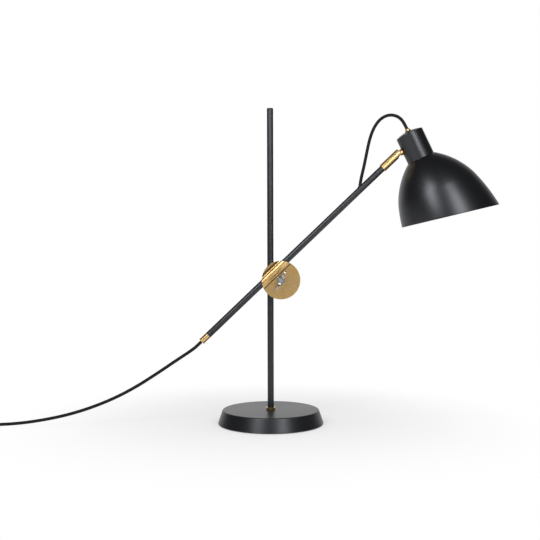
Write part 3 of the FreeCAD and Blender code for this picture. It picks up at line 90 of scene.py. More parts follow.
# The middle points of the cord's free stretches, chosen one by one
LOOP_ROUTE = [
    (0.1776, 0.0015, 0.4860), (0.1830, 0.0045, 0.5110), (0.1883, 0.0040, 0.5370),
    (0.1951, 0.0010, 0.5581), (0.2046, -0.0030, 0.5734), (0.2150, -0.0070, 0.5812),
    (0.2257, -0.0105, 0.5839), (0.2365, -0.0140, 0.5818), (0.2454, -0.0170, 0.5753),
]
TAIL_ROUTE = [
    (-0.1449, -0.0183, 0.1441), (-0.1760, -0.0183, 0.1239), (-0.2160, -0.0183, 0.0969),
    (-0.2560, -0.0182, 0.0716), (-0.2970, -0.0180, 0.0506), (-0.3390, -0.0179, 0.0339),
    (-0.3820, -0.0180, 0.0209), (-0.4240, -0.0183, 0.0121), (-0.4660, -0.0185, 0.0059),
    (-0.5050, -0.0185, CORD_LYING), (-0.5410, -0.0183, CORD_LYING),
]
SWITCH_ROUTE = [
    (-0.5865, -0.0183, SWITCH_HEIGHT), (-0.5960, -0.0183, SWITCH_HEIGHT), (-0.6050, -0.0184, SWITCH_HEIGHT),
    (-0.6180, -0.0183, SWITCH_HEIGHT),
]
PLUG_ROUTE = [
    (-0.6760, -0.0183, SWITCH_HEIGHT), (-0.6960, -0.0183, 0.00945), (-0.7160, -0.0126, 0.0089),
    (-0.7302, 0.0036, 0.0080), (-0.7350, 0.0236, 0.0072), (-0.7350, 0.0430, 0.0070),
]
COIL_START = (-0.580, -0.0183)
COIL_RADIUS = 0.044
COIL_PITCH = 0.007
COIL_TURNS_IN = 2.25
COIL_RISE = 0.0066
COIL_STEPS = 24

# The bands of painted shade beside the clamp's raised channel, in metres across the arm: start, full, fading,
# end
LOWER_PAINTED_SHADE = (0.0078, 0.0090, 0.0098, 0.0114)
UPPER_PAINTED_SHADE = (0.0078, 0.0092, 0.0118, 0.0136)
OUTER_PAINTED_SHADE = (0.0150, 0.0158, 0.0166, 0.0176)
# The end of the sleeves on the plug's pins, and the braid's strands round the cord and in a metre
PIN_SEAM = (0.1031, 0.1033)
STRANDS_ROUND = 20.0
STRANDS_ALONG = 1060.0


# ---- settings


def colour(name, description, value):
    return FloatVectorProperty(
        name=name, description=description, default=value, size=3, min=0.0, max=1.0, subtype="COLOR"
    )


def length(name, description, value):
    return FloatProperty(name=name, description=description, default=value, min=0.0, subtype="DISTANCE")


def share(name, description, value):
    return FloatProperty(
        name=name, description=description, default=value, min=0.0, max=1.0, subtype="FACTOR"
    )


def watts(name, description, value):
    return FloatProperty(name=name, description=description, default=value, unit="POWER")


class LampFinishes(bpy.types.PropertyGroup):
    """Colours and gloss of the lamp's finishes."""

    lacquer: colour("Lacquer", "Colour of the satin black lacquer", (0.0036, 0.0038, 0.0046))
    lacquer_gloss: share("Lacquer roughness", "Roughness of the satin lacquer", 0.36)
    shade_inside: colour("Shade inside", "Colour of the lacquer inside the shade", (0.80, 0.79, 0.76))
    brass: colour("Brass", "Colour of clean turned brass", (0.80, 0.555, 0.245))
    brass_tarnish: colour("Tarnish", "Colour of the browner patches on the brass", (0.52, 0.30, 0.11))
    nickel: colour("Nickel", "Colour of the nickel-plated wing nut", (0.52, 0.545, 0.58))
    steel: colour("Steel", "Colour of plain turned steel", (0.50, 0.50, 0.51))
    braid: colour("Cord braid", "Colour of the cord's braided sheath", (0.0060, 0.0060, 0.0068))
    braid_fleck: colour("Braid fleck", "Colour of the raised strands of the braid", (0.0125, 0.0125, 0.0140))
    plastic: colour("Plastic", "Colour of the black plastic", (0.012, 0.012, 0.013))


class LampShapes(bpy.types.PropertyGroup):
    """Sizes of the added shapes."""

    metal_edge: length("Metal edge", "Radius on the edges of machined metal", 0.00035)
    plastic_edge: length("Plastic edge", "Radius on the edges of moulded plastic", 0.0005)
    shade_wall: length("Shade wall", "Thickness of the spun shade", 0.0012)
    thread_pitch: length("Thread pitch", "Pitch of the clamp bolt's thread", 0.00125)
    relief_length: length("Strain relief", "Length of the tapered strain reliefs", 0.021)
    relief_start: length("Relief root", "Radius of a strain relief where it leaves its housing", 0.0052)
    relief_end: length("Relief tip", "Radius of a strain relief at its tip", 0.0037)
    cord_sides: IntProperty(name="Cord sides", description="Sides of the cord's tube", default=16, min=8)
    spin_steps: IntProperty(name="Spin steps", description="Steps round the spun pieces", default=160, min=32)


class LampStage(bpy.types.PropertyGroup):
    """Lights, floor and background."""

    left_power: watts("Left light", "Power of the left softbox", 9.0)
    right_power: watts("Right light", "Power of the right softbox", 6.5)
    room_light: share("Room light", "Strength of the room's even light", 0.50)
    front_level: share("Front level", "How bright metal sees the room in front of the lamp", 0.04)
    floor_colour: colour("Floor", "Colour of the pale floor", (0.86, 0.86, 0.86))
    fade_start: length("Fade start", "Where the floor starts to turn into the background", 0.10)
    fade_end: length("Fade end", "Where the floor has become the background", 0.55)


def finishes():
    return bpy.context.scene.lamp_finishes


def shapes():
    return bpy.context.scene.lamp_shapes


# ---- shader expressions


class Wire:
    """A socket of a node tree; arithmetic on it adds Math nodes."""

    def __init__(self, tree, socket):
        self.tree = tree
        self.socket = socket

    def maths(self, operation, first, second=None):
        values = {0: first} if second is None else {0: first, 1: second}
        return self.tree.node("ShaderNodeMath", {"operation": operation}, values)

    def __add__(self, other):
        return self.maths("ADD", self, other)

    def __radd__(self, other):
        return self.maths("ADD", other, self)

    def __sub__(self, other):
        return self.maths("SUBTRACT", self, other)

    def __rsub__(self, other):
        return self.maths("SUBTRACT", other, self)

    def __mul__(self, other):
        return self.maths("MULTIPLY", self, other)

    def __rmul__(self, other):
        return self.maths("MULTIPLY", other, self)

    def __abs__(self):
        return self.maths("ABSOLUTE", self)

    def sine(self):
        return self.maths("SINE", self)

    def larger(self, other):
        return self.maths("MAXIMUM", self, other)

    def between(self, low, high):
        """0 up to low, 1 from high on, and smooth between them."""
        return self.tree.node(
            "ShaderNodeMapRange",
            {"interpolation_type": "SMOOTHSTEP"},
            {"Value": self, "From Min": low, "From Max": high},
        )

    def band(self, start, full, fading, end):
        """1 in a band that has soft edges, and 0 outside it."""
        return self.between(start, full) * (1.0 - self.between(fading, end))


class Nodes:
    """A node tree that is built through one method."""

    def __init__(self, tree):
        self.tree = tree
        tree.nodes.clear()

    def node(self, kind, settings=None, values=None, output=0):
        made = self.tree.nodes.new(kind)
        for name, setting in (settings or {}).items():
            setattr(made, name, setting)
        for key, value in (values or {}).items():
            if isinstance(value, Wire):
                self.tree.links.new(value.socket, made.inputs[key])
            else:
                made.inputs[key].default_value = value
        return Wire(self, made.outputs[output]) if made.outputs else None

    def mix(self, factor, first, second):
        """A colour between two others, each a colour or a wire."""
        values = {0: factor, 6: self.rgba(first), 7: self.rgba(second)}
        return self.node("ShaderNodeMix", {"data_type": "RGBA"}, values, 2)

    @staticmethod
    def rgba(value):
        return value if isinstance(value, Wire) else (*tuple(value)[:3], 1.0)

    def noise(self, where, scale, detail=3.0, rough=0.55, distortion=0.0):
        values = {
            "Vector": where, "Scale": scale, "Detail": detail, "Roughness": rough, "Distortion": distortion,
        }
        return self.node("ShaderNodeTexNoise", {}, values)

    def place(self, output="Object"):
        return self.node("ShaderNodeTexCoord", {}, {}, output)

    def part_of(self, where, axis):
        return self.node("ShaderNodeSeparateXYZ", {}, {0: where}, axis)

    def ray(self, kind):
        """1 for rays of that kind, and 0 for all others."""
        return self.node("ShaderNodeLightPath", {}, {}, f"Is {kind} Ray")


class Surface(Nodes):
    """A material with one Principled shader."""

    def __init__(self, name, **plain):
        self.material = bpy.data.materials.new(name)
        self.material.use_nodes = True
        super().__init__(self.material.node_tree)
        self.shader = self.tree.nodes.new("ShaderNodeBsdfPrincipled")
        output = self.tree.nodes.new("ShaderNodeOutputMaterial")
        self.tree.links.new(self.shader.outputs[0], output.inputs[0])
        for key, value in plain.items():
            self.shader.inputs[key.replace("_", " ")].default_value = value

    def feed(self, **wires):
        for key, wire in wires.items():
            self.tree.links.new(wire.socket, self.shader.inputs[key.replace("_", " ")])
        return self.material

    def bump(self, height, distance, strength=1.0):
        values = {"Height": height, "Distance": distance, "Strength": strength}
        return self.node("ShaderNodeBump", {}, values)


def once(maker):
    """Makes a finish or a node tree when it is first asked for, and gives the same one after that."""
    made = []

    def given():
        if not made:
            made.append(maker())
        return made[0]

    return given


@once
def satin_lacquer():
    """Satin black lacquer with a faint orange peel and a little dust."""
    look = Surface("satin_lacquer", Specular_IOR_Level=0.78, Specular_Tint=(0.91, 0.93, 1.0, 1.0))
    where = look.place()
    cloud = look.noise(where, 7.0, 3.0)
    peel = look.noise(where, 240.0, 2.0)
    dust = look.noise(where, 900.0, 2.0).between(0.66, 0.74)
    base = finishes().lacquer
    grey = tuple(4.0 * c for c in base)
    tint = look.mix(0.12 * dust + 0.10 * cloud, base, grey)
    rough = finishes().lacquer_gloss - 0.03 + 0.07 * cloud + 0.05 * dust
    return look.feed(Base_Color=tint, Roughness=rough, Normal=look.bump(peel, 0.000012, 0.5))


@once
def shade_lining():
    """White lacquer on the inside of the shade."""
    look = Surface("shade_lining", Specular_IOR_Level=0.4)
    where = look.place()
    cloud = look.noise(where, 16.0, 4.0)
    peel = look.noise(where, 700.0, 2.0)
    base = finishes().shade_inside
    tint = look.mix(0.5 * cloud, base, tuple(0.93 * c for c in base))
    return look.feed(Base_Color=tint, Roughness=0.42 + 0.08 * cloud, Normal=look.bump(peel, 0.00002, 0.4))


def brass_look(name, patches_low, patches_high, crease=False):
    """Turned brass that has dulled in patches; crease adds painted shade, dark brown bands beside the clamp's
    raised channel.
    """
    look = Surface(name, Metallic=1.0)
    where = look.place()
    cloud = look.noise(where, 34.0, 6.0, 0.62, 0.6)
    spots = look.noise(where, 260.0, 4.0, 0.6)
    patch = (0.75 * cloud + 0.25 * spots).between(patches_low, patches_high)
    fine = look.noise(where, 170.0, 2.0)
    tint = look.mix(0.85 * patch, finishes().brass, finishes().brass_tarnish)
    rough = 0.29 + 0.12 * patch + 0.04 * fine
    # painted shade: dark brown bands where the sides of the clamp's raised channel fall into shade
    if crease:
        side = ARM.to_3x3() @ Vector((1.0, 0.0, 0.0))
        offset = look.node("ShaderNodeVectorMath", {"operation": "DOT_PRODUCT"}, {0: where, 1: side}, 1)
        below = offset - ARM.translation.dot(side)
        above = 0.0 - below
        shadow = below.band(*LOWER_PAINTED_SHADE) + above.band(*UPPER_PAINTED_SHADE) + above.band(*OUTER_PAINTED_SHADE)
        tint = look.mix(0.90 * shadow, tint, (0.085, 0.034, 0.012))
        rough = rough + 0.12 * shadow
    return look.feed(Base_Color=tint, Roughness=rough, Normal=look.bump(fine, 0.00001, 0.35))


@once
def aged_brass():
    return brass_look("aged_brass", 0.50, 0.68)


@once
def clamp_face_brass():
    # the clamp's front brass, with bands of painted shade beside its channel
    return brass_look("clamp_face_brass", 0.40, 0.60, crease=True)


def turned_metal(name, base, rough, stain):
    """Turned metal with a fine even grain and a few duller spots."""
    look = Surface(name, Metallic=1.0)
    where = look.place()
    cloud = look.noise(where, 90.0, 5.0, 0.6, 0.3)
    spots = cloud.between(0.55, 0.72)
    fine = look.noise(where, 200.0, 2.0)
    tint = look.mix(0.5 * spots, base, stain)
    level = rough + 0.12 * spots + 0.05 * fine
    return look.feed(Base_Color=tint, Roughness=level, Normal=look.bump(fine, 0.000008, 0.3))


@once
def nickel():
    return turned_metal("nickel", finishes().nickel, 0.22, (0.17, 0.165, 0.155))


@once
def steel():
    return turned_metal("steel", finishes().steel, 0.34, (0.24, 0.22, 0.20))


def grained(name, noise, dark, pale, rough, spread, height, **plain):
    """A surface whose one grain sets its colour, its roughness and its bumps."""
    look = Surface(name, **plain)
    grain = look.noise(look.place(), *noise)
    tint = look.mix(grain, dark, pale)
    return look.feed(Base_Color=tint, Roughness=rough + spread * grain, Normal=look.bump(grain, height))


@once
def iron_casting():
    """Rough grey casting, out of sight under the base."""
    dark, pale = (0.05, 0.05, 0.05), (0.13, 0.12, 0.11)
    return grained("iron_casting", (420.0, 5.0), dark, pale, 0.62, 0.2, 0.0003, Metallic=0.6)


@once
def pressed_felt():
    """Black felt under the base."""
    dark, pale = (0.010, 0.010, 0.011), (0.045, 0.044, 0.043)
    fibres = (900.0, 6.0, 0.7, 1.2)
    return grained("pressed_felt", fibres, dark, pale, 0.86, 0.1, 0.0004, Specular_IOR_Level=0.1)


def moulded(name, base, rough, grain, specular=0.4):
    """Black rubber or plastic with the fine grain of its mould."""
    look = Surface(name, Specular_IOR_Level=specular)
    where = look.place()
    cloud = look.noise(where, 22.0, 3.0)
    fine = look.noise(where, grain, 3.0)
    tint = look.mix(0.6 * cloud, base, tuple(1.9 * c for c in base))
    return look.feed(Base_Color=tint, Roughness=rough + 0.1 * fine, Normal=look.bump(fine, 0.00003, 0.6))


@once
def satin_plastic():
    return moulded("satin_plastic", finishes().plastic, 0.38, 1300.0)


@once
def dull_rubber():
    return moulded("dull_rubber", (0.014, 0.014, 0.014), 0.6, 900.0, 0.25)


@once
def fibre_lining():
    return moulded("fibre_lining", (0.085, 0.055, 0.032), 0.7, 800.0, 0.2)


@once
def porcelain():
    return moulded("porcelain", (0.72, 0.70, 0.65), 0.3, 500.0)


@once
def opal_glass():
    """The bulb's opal envelope."""
    look = Surface("opal_glass", Specular_IOR_Level=0.5, Coat_Roughness=0.05)
    cloud = look.noise(look.place(), 30.0, 3.0)
    tint = look.mix(0.5 * cloud, (0.84, 0.84, 0.82), (0.76, 0.76, 0.73))
    return look.feed(Base_Color=tint, Roughness=0.12 + 0.06 * cloud)


@once
def sleeved_pins():
    """Nickel pins whose first half has a black insulating sleeve; the pins run along Y."""
    look = Surface("sleeved_pins", Specular_IOR_Level=0.5)
    where = look.place()
    sleeve = 1.0 - look.part_of(where, 1).between(*PIN_SEAM)
    fine = look.noise(where, 1500.0, 2.0)
    tint = look.mix(sleeve, finishes().nickel, finishes().plastic)
    rough = 0.22 + 0.24 * sleeve + 0.06 * fine
    return look.feed(Base_Color=tint, Metallic=1.0 - sleeve, Roughness=rough)


@once
def braided_cord():
    """The textile braid by the cord's own UV map: U goes round it, and V is metres along it."""
    look = Surface("braided_cord", Specular_IOR_Level=0.22)
    across = look.place("UV")
    around = STRANDS_ROUND * look.part_of(across, 0)
    along = STRANDS_ALONG * look.part_of(across, 1)
    over = abs((math.pi * (around + along)).sine() * (math.pi * (around - along)).sine())
    fuzz = look.noise(look.place(), 2200.0, 3.0, 0.7)
    level = (over + 0.5 * fuzz).between(0.25, 1.2)
    tint = look.mix(level, finishes().braid, finishes().braid_fleck)
    rough = 0.70 - 0.10 * over + 0.08 * fuzz
    return look.feed(Base_Color=tint, Roughness=rough, Normal=look.bump(over + 0.3 * fuzz, 0.00004))


@once
def hidden_braid():
    """The same braid for the leads inside the arm and the gland, without a UV map."""
    dark, pale = finishes().braid, finishes().braid_fleck
    weave = (1100.0, 3.0, 0.6)
    return grained("hidden_braid", weave, dark, pale, 0.7, 0.1, 0.0001, Specular_IOR_Level=0.22)


# ---- meshes


def new_object(name, mesh):
    piece = bpy.data.objects.new(name, mesh)
    bpy.context.scene.collection.objects.link(piece)
    return piece


def baked(piece):
    """Turns the piece's modifiers into its mesh."""
    graph = bpy.context.evaluated_depsgraph_get()
    final = piece.evaluated_get(graph)
    mesh = bpy.data.meshes.new_from_object(final, preserve_all_data_layers=True, depsgraph=graph)
    piece.modifiers.clear()
    piece.data = mesh
    return piece


def smooth(mesh, crease):
    mesh.shade_smooth()
    mesh.set_sharp_from_angle(angle=math.radians(crease))


def outward(mesh):
    """Turns all faces of a closed mesh to look outwards."""
    whole = bmesh.new()
    whole.from_mesh(mesh)
    bmesh.ops.recalc_face_normals(whole, faces=whole.faces)
    whole.to_mesh(mesh)
    whole.free()


def joined(piece, node_body, slot, *nodes):
    """Gives the piece its body, and hides the nodes that it stands for; slot is not used."""
    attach(piece, node_body)
    if nodes:
        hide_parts(*nodes)
    return piece


def softened(node, material, edge=0.0, crease=34.0):
    """A copy of one machined piece, with merged faces and small rounded edges, in the piece's place."""
    source = frame["nodes"][node].data
    shape = bmesh.new()
    shape.from_mesh(source)
    bmesh.ops.remove_doubles(shape, verts=shape.verts, dist=2e-6)
    bmesh.ops.dissolve_limit(shape, angle_limit=math.radians(0.4), verts=shape.verts, edges=shape.edges)
    shape.verts.index_update()
    mesh = bpy.data.meshes.new(node + "_finished")
    points = [v.co.copy() for v in shape.verts]
    faces = [[v.index for v in f.verts] for f in shape.faces]
    shape.free()
    mesh.from_pydata(points, [], faces)
    mesh.materials.append(material)
    piece = new_object(node + "_finished", mesh)
    smooth(mesh, crease)
    if edge:
        bevel = piece.modifiers.new("Edges", "BEVEL")
        bevel.limit_method = "ANGLE"
        bevel.angle_limit = math.radians(crease)
        bevel.width = edge
        bevel.segments = 2
        bevel.use_clamp_overlap = True
        bevel.harden_normals = True
        baked(piece)
    return joined(piece, BODY_OF[node], SLOT_OF[node], node)


def smooth_line(name, points, steps):
    """Points along the NURBS line that has the route's points as its control points."""
    curve = bpy.data.curves.new(name, "CURVE")
    curve.dimensions = "3D"
    spline = curve.splines.new("NURBS")
    spline.points.add(len(points) - 1)
    for held, point in zip(spline.points, points):
        held.co = (*point, 1.0)
    spline.order_u = 3
    spline.use_endpoint_u = True
    spline.resolution_u = steps
    route = new_object(name, curve)
    graph = bpy.context.evaluated_depsgraph_get()
    line = bpy.data.meshes.new_from_object(route.evaluated_get(graph))
    found = [v.co.copy() for v in line.vertices]
    bpy.data.objects.remove(route)
    return found


def distances(line):
    total = [0.0]
    for before, after in zip(line, line[1:]):
        total.append(total[-1] + (after - before).length)
    return total


def cut_line(line, places):
    """Cuts a line into stretches at the given distances; neighbours share their end points."""
    along = distances(line)
    cuts = [0] + [min(range(len(along)), key=lambda n: abs(along[n] - place)) for place in places]
    cuts.append(len(line) - 1)
    return [line[a : b + 1] for a, b in zip(cuts, cuts[1:])]


def tube(name, line, radius, material, start=0.0, first_side=None):
    """A round tube along a line; radius is a number or a function of the share of the way along it.

    start is the distance at which its UV map begins. It returns the piece and the side its last ring
    starts on, so that the next stretch can go on without a twist.
    """
    sides = shapes().cord_sides
    along = distances(line)
    way = (line[1] - line[0]).normalized()
    side = first_side if first_side is not None else way.orthogonal().normalized()
    points = []
    for n, centre in enumerate(line):
        ahead = line[min(n + 1, len(line) - 1)] - line[max(n - 1, 0)]
        turned = way.rotation_difference(ahead)
        side = turned @ side
        way = ahead.normalized()
        up = way.cross(side)
        size = radius(along[n] / along[-1]) if callable(radius) else radius
        for k in range(sides):
            angle = 2 * math.pi * k / sides
            points.append(centre + (side * math.cos(angle) + up * math.sin(angle)) * size)
    faces = []
    for n in range(len(line) - 1):
        for k in range(sides):
            after = (k + 1) % sides
            faces.append((n * sides + k, n * sides + after, (n + 1) * sides + after, (n + 1) * sides + k))
    last = (len(line) - 1) * sides
    faces.append(tuple(reversed(range(sides))))
    faces.append(tuple(range(last, last + sides)))
    mesh = bpy.data.meshes.new(name)
    mesh.from_pydata(points, [], faces)
    mesh.materials.append(material)
    layer = mesh.uv_layers.new(name="Along")
    for face in mesh.polygons:
        for corner, loop in enumerate(face.loop_indices):
            n, k = divmod(mesh.loops[loop].vertex_index, sides)
            turn = k / sides
            if len(face.vertices) == 4 and face.index % sides == sides - 1 and k == 0:
                turn = 1.0
            layer.data[loop].uv = (turn, start + along[n])
    smooth(mesh, 60.0)
    return new_object(name, mesh), side


def spun(name, outline_at, place, materials, lined=range(0)):
    """A closed shape spun about Z.

    outline_at gives the outline at one turn, and lined names the outline's edges that have the second
    material.
    """
    steps = shapes().spin_steps
    points = []
    for n in range(steps):
        turn = 2 * math.pi * n / steps
        cos, sin = math.cos(turn), math.sin(turn)
        points += [place @ Vector((p.x * cos, p.x * sin, p.y)) for p in outline_at(turn)]
    count = len(points) // steps
    faces = []
    for n in range(steps):
        after = (n + 1) % steps
        for k in range(count):
            up = (k + 1) % count
            faces.append((n * count + k, n * count + up, after * count + up, after * count + k))
    mesh = bpy.data.meshes.new(name)
    mesh.from_pydata(points, [], faces)
    for material in materials:
        mesh.materials.append(material)
    for face in mesh.polygons:
        face.material_index = int(face.index % count in lined)
    outward(mesh)
    smooth(mesh, 40.0)
    return new_object(name, mesh)


def rounded(before, corner, after, radius, steps=5):
    """The points of a small arc in place of a corner, with a short straight bit on either side."""
    back = (before - corner).normalized()
    on = (after - corner).normalized()
    half = back.angle(on) / 2
    reach = radius / math.tan(half)
    centre = corner + (back + on).normalized() * radius / math.sin(half)
    start, end = corner + back * reach, corner + on * reach
    arc = []
    for n in range(steps + 1):
        arc.append(centre + (start - centre).lerp(end - centre, n / steps).normalized() * radius)
    margin = 0.25 * radius
    return [start + back * margin, *arc, end + on * margin]


# ---- repeated shapes


def repeat_tree(name, **sizes):
    """An empty Geometry Nodes tree, and its inputs by name: its sizes and its finish."""
    tree = bpy.data.node_groups.new(name, "GeometryNodeTree")
    sizes["Finish"] = "Material"
    for label, kind in sizes.items():
        tree.interface.new_socket(label, in_out="INPUT", socket_type="NodeSocket" + kind)
    tree.interface.new_socket("Geometry", in_out="OUTPUT", socket_type="NodeSocketGeometry")
    nodes = Nodes(tree)
    given = tree.nodes.new("NodeGroupInput")
    return nodes, {label: Wire(nodes, given.outputs[label]) for label in sizes}


def close_tree(nodes, size, geometry):
    """Ends a tree in Realize Instances and Set Material."""
    real = nodes.node("GeometryNodeRealizeInstances", {}, {0: geometry})
    painted = nodes.node("GeometryNodeSetMaterial", {}, {"Geometry": real, "Material": size["Finish"]})
    nodes.node("NodeGroupOutput", {}, {0: painted})
    return nodes.tree


@once
def thread_tree():
    """A screw thread: a thin ridge that winds up a cylinder along Z."""
    nodes, size = repeat_tree("screw_thread", Radius="Float", Height="Float", Turns="Float", Ridge="Float")
    values = {
        "Resolution": 24, "Rotations": size["Turns"], "Start Radius": size["Radius"],
        "End Radius": size["Radius"], "Height": size["Height"],
    }
    spiral = nodes.node("GeometryNodeCurveSpiral", {}, values)
    section = nodes.node("GeometryNodeCurvePrimitiveCircle", {}, {"Resolution": 6, "Radius": size["Ridge"]})
    values = {"Curve": spiral, "Profile Curve": section, "Fill Caps": True}
    return close_tree(nodes, size, nodes.node("GeometryNodeCurveToMesh", {}, values))


@once
def rib_tree():
    """Ribs round a ring about Z: small blocks that stand on a circle."""
    nodes, size = repeat_tree("ring_of_ribs", Count="Int", Radius="Float", Rib="Vector")
    circle = nodes.node("GeometryNodeMeshCircle", {}, {"Vertices": size["Count"], "Radius": size["Radius"]})
    rib = nodes.node("GeometryNodeMeshCube", {}, {"Size": size["Rib"]})
    outward = nodes.node("GeometryNodeInputPosition")
    values = {"Factor": 1.0, "Vector": outward}
    turn = nodes.node("FunctionNodeAlignRotationToVector", {"axis": "X", "pivot_axis": "Z"}, values)
    values = {"Points": circle, "Instance": rib, "Rotation": turn}
    return close_tree(nodes, size, nodes.node("GeometryNodeInstanceOnPoints", {}, values))


@once
def groove_tree():
    """Rings along Z whose size falls from the first to the last, as on a moulded strain relief."""
    nodes, size = repeat_tree(
        "relief_rings", Count="Int", Spacing="Vector", Radius="Float", Thickness="Float", Taper="Float"
    )
    points = nodes.node(
        "GeometryNodeMeshLine", {"mode": "OFFSET"}, {"Count": size["Count"], "Offset": size["Spacing"]}
    )
    around = nodes.node("GeometryNodeCurvePrimitiveCircle", {}, {"Resolution": 28, "Radius": size["Radius"]})
    values = {"Resolution": 8, "Radius": size["Thickness"]}
    section = nodes.node("GeometryNodeCurvePrimitiveCircle", {}, values)
    values = {"Curve": around, "Profile Curve": section}
    ring = nodes.node("GeometryNodeCurveToMesh", {}, values)
    number = nodes.node("GeometryNodeInputIndex")
    scale = 1.0 - number * size["Taper"]
    values = {"Points": points, "Instance": ring, "Scale": scale}
    return close_tree(nodes, size, nodes.node("GeometryNodeInstanceOnPoints", {}, values))


def grown(name, tree, values, place, body, slot):
    """A plain mesh of what a tree makes with these values, put in its place."""
    piece = new_object(name, bpy.data.meshes.new(name))
    modifier = piece.modifiers.new("Repeat", "NODES")
    modifier.node_group = tree
    for item in tree.interface.items_tree:
        if item.in_out == "INPUT":
            modifier[item.identifier] = values[item.name]
    baked(piece)
    piece.data.transform(place)
    outward(piece.data)
    smooth(piece.data, 40.0)
    return joined(piece, body, slot)


# ---- stage


class LAMP_OT_stage(bpy.types.Operator):
    """Makes the floor, the softboxes, the background and the camera"""

    bl_idname = "lamp.stage"
    bl_label = "Stage"

    # a softbox's name, place, the point that it faces, its width and its height
    left = ("left_softbox", (-0.62, -1.05, 1.04), (0.10, 0.0, 0.34), 0.44, 0.80)
    right = ("right_softbox", (0.54, -1.02, 0.84), (0.20, 0.0, 0.36), 0.38, 0.80)
    camera_place = (-0.00079, -1.550, 0.3124)
    camera_pitch = 0.013
    camera_roll = -0.0026
    camera_lens = 54.4

    def execute(self, context):
        stage = context.scene.lamp_stage
        self.floor(stage)
        self.world(context, stage)
        self.softbox(*self.left, stage.left_power)
        self.softbox(*self.right, stage.right_power)
        self.camera(context)
        context.scene.view_settings.view_transform = "Standard"
        return {"FINISHED"}

    def floor(self, stage):
        mesh = bpy.data.meshes.new("floor")
        half = 6.0
        drop = -0.0001
        corners = [(-half, -half, drop), (half, -half, drop), (half, half, drop), (-half, half, drop)]
        mesh.from_pydata(corners, [], [(0, 1, 2, 3)])
        material = bpy.data.materials.new("pale_floor")
        material.use_nodes = True
        nodes = Nodes(material.node_tree)
        where = nodes.place()
        across = nodes.node("ShaderNodeVectorMath", {"operation": "LENGTH"}, {0: where}, 1)
        seen = nodes.ray("Camera")
        glossy = nodes.ray("Glossy")
        through = nodes.ray("Transmission")
        fade = 0.45 + 0.55 * across.between(stage.fade_start, stage.fade_end)
        factor = seen.larger(0.25 * glossy).larger(through) * fade
        grain = nodes.noise(where, 40.0, 3.0)
        pale = nodes.mix(0.3 * grain, stage.floor_colour, tuple(0.97 * c for c in stage.floor_colour))
        matte = nodes.node("ShaderNodeBsdfDiffuse", {}, {"Color": pale})
        white = nodes.node("ShaderNodeEmission", {}, {"Color": (1.0, 1.0, 1.0, 1.0), "Strength": 1.0})
        both = nodes.node("ShaderNodeMixShader", {}, {0: factor, 1: matte, 2: white})
        nodes.node("ShaderNodeOutputMaterial", {}, {0: both})
        mesh.materials.append(material)
        new_object("floor", mesh)

    def world(self, context, stage):
        world = bpy.data.worlds.new("studio")
        world.use_nodes = True
        nodes = Nodes(world.node_tree)
        path = nodes.ray("Camera")
        through = nodes.ray("Transmission")
        glossy = nodes.ray("Glossy")
        way = nodes.place("Generated")
        behind = nodes.part_of(way, 1).between(0.45, 1.0)
        seen_by_gloss = stage.front_level + (1.0 - stage.front_level) * behind
        level = path.larger(through)
        plain = (1.0 - level) * (1.0 - glossy) * stage.room_light
        strength = level + (1.0 - level) * glossy * seen_by_gloss + plain
        light = nodes.node("ShaderNodeBackground", {}, {"Color": (1.0, 1.0, 1.0, 1.0), "Strength": strength})
        nodes.node("ShaderNodeOutputWorld", {}, {0: light})
        context.scene.world = world

    def softbox(self, name, place, target, width, height, power):
        light = bpy.data.lights.new(name, "AREA")
        light.shape = "RECTANGLE"
        light.size = width
        light.size_y = height
        light.energy = power
        lamp = new_object(name, light)
        lamp.location = place
        lamp.rotation_euler = (Vector(target) - Vector(place)).to_track_quat("-Z", "Y").to_euler()

    def camera(self, context):
        """The photograph's viewpoint: a little above the clamp, looking almost level along +Y."""
        pitch, roll = self.camera_pitch, self.camera_roll
        forward = Vector((0.0, math.cos(pitch), -math.sin(pitch)))
        level = Vector((1.0, 0.0, 0.0))
        upright = Vector((0.0, math.sin(pitch), math.cos(pitch)))
        right = level * math.cos(roll) + upright * math.sin(roll)
        up = upright * math.cos(roll) - level * math.sin(roll)
        turn = Matrix((right, up, -forward)).transposed()
        data = bpy.data.cameras.new("camera")
        data.sensor_width = 36.0
        data.lens = self.camera_lens
        camera = new_object("camera", data)
        camera.matrix_world = Matrix.Translation(self.camera_place) @ turn.to_4x4()
        context.scene.camera = camera


# ---- cords


def coil_point(turns):
    """A point of the coil's middle line, that many turns from its start at the front."""
    inner = COIL_RADIUS - COIL_PITCH * COIL_TURNS_IN
    past = turns - COIL_TURNS_IN
    if past <= 0:
        radius, climb = COIL_RADIUS - COIL_PITCH * turns, 0.0
    elif past < 0.5:
        radius = inner - COIL_PITCH * past + 2 * COIL_PITCH * past * past
        part = past / 0.5
        climb = part * part * (3 - 2 * part)
    else:
        radius, climb = inner + COIL_PITCH * (past - 0.5), 1.0
    angle = -math.pi / 2 - 2 * math.pi * turns
    x, y = COIL_START
    middle = y + COIL_RADIUS
    # the line passes a little inside its control points, so they stand that much further out
    radius /= math.cos(math.pi / COIL_STEPS)
    return (x + radius * math.cos(angle), middle + radius * math.sin(angle), CORD_LYING + COIL_RISE * climb)


def declare(piece, line, stiffness, lay, far_end="object", **facts):
    """Works out the length of the line that a cord's tube follows, and does nothing else."""
    reach = distances(line)[-1]


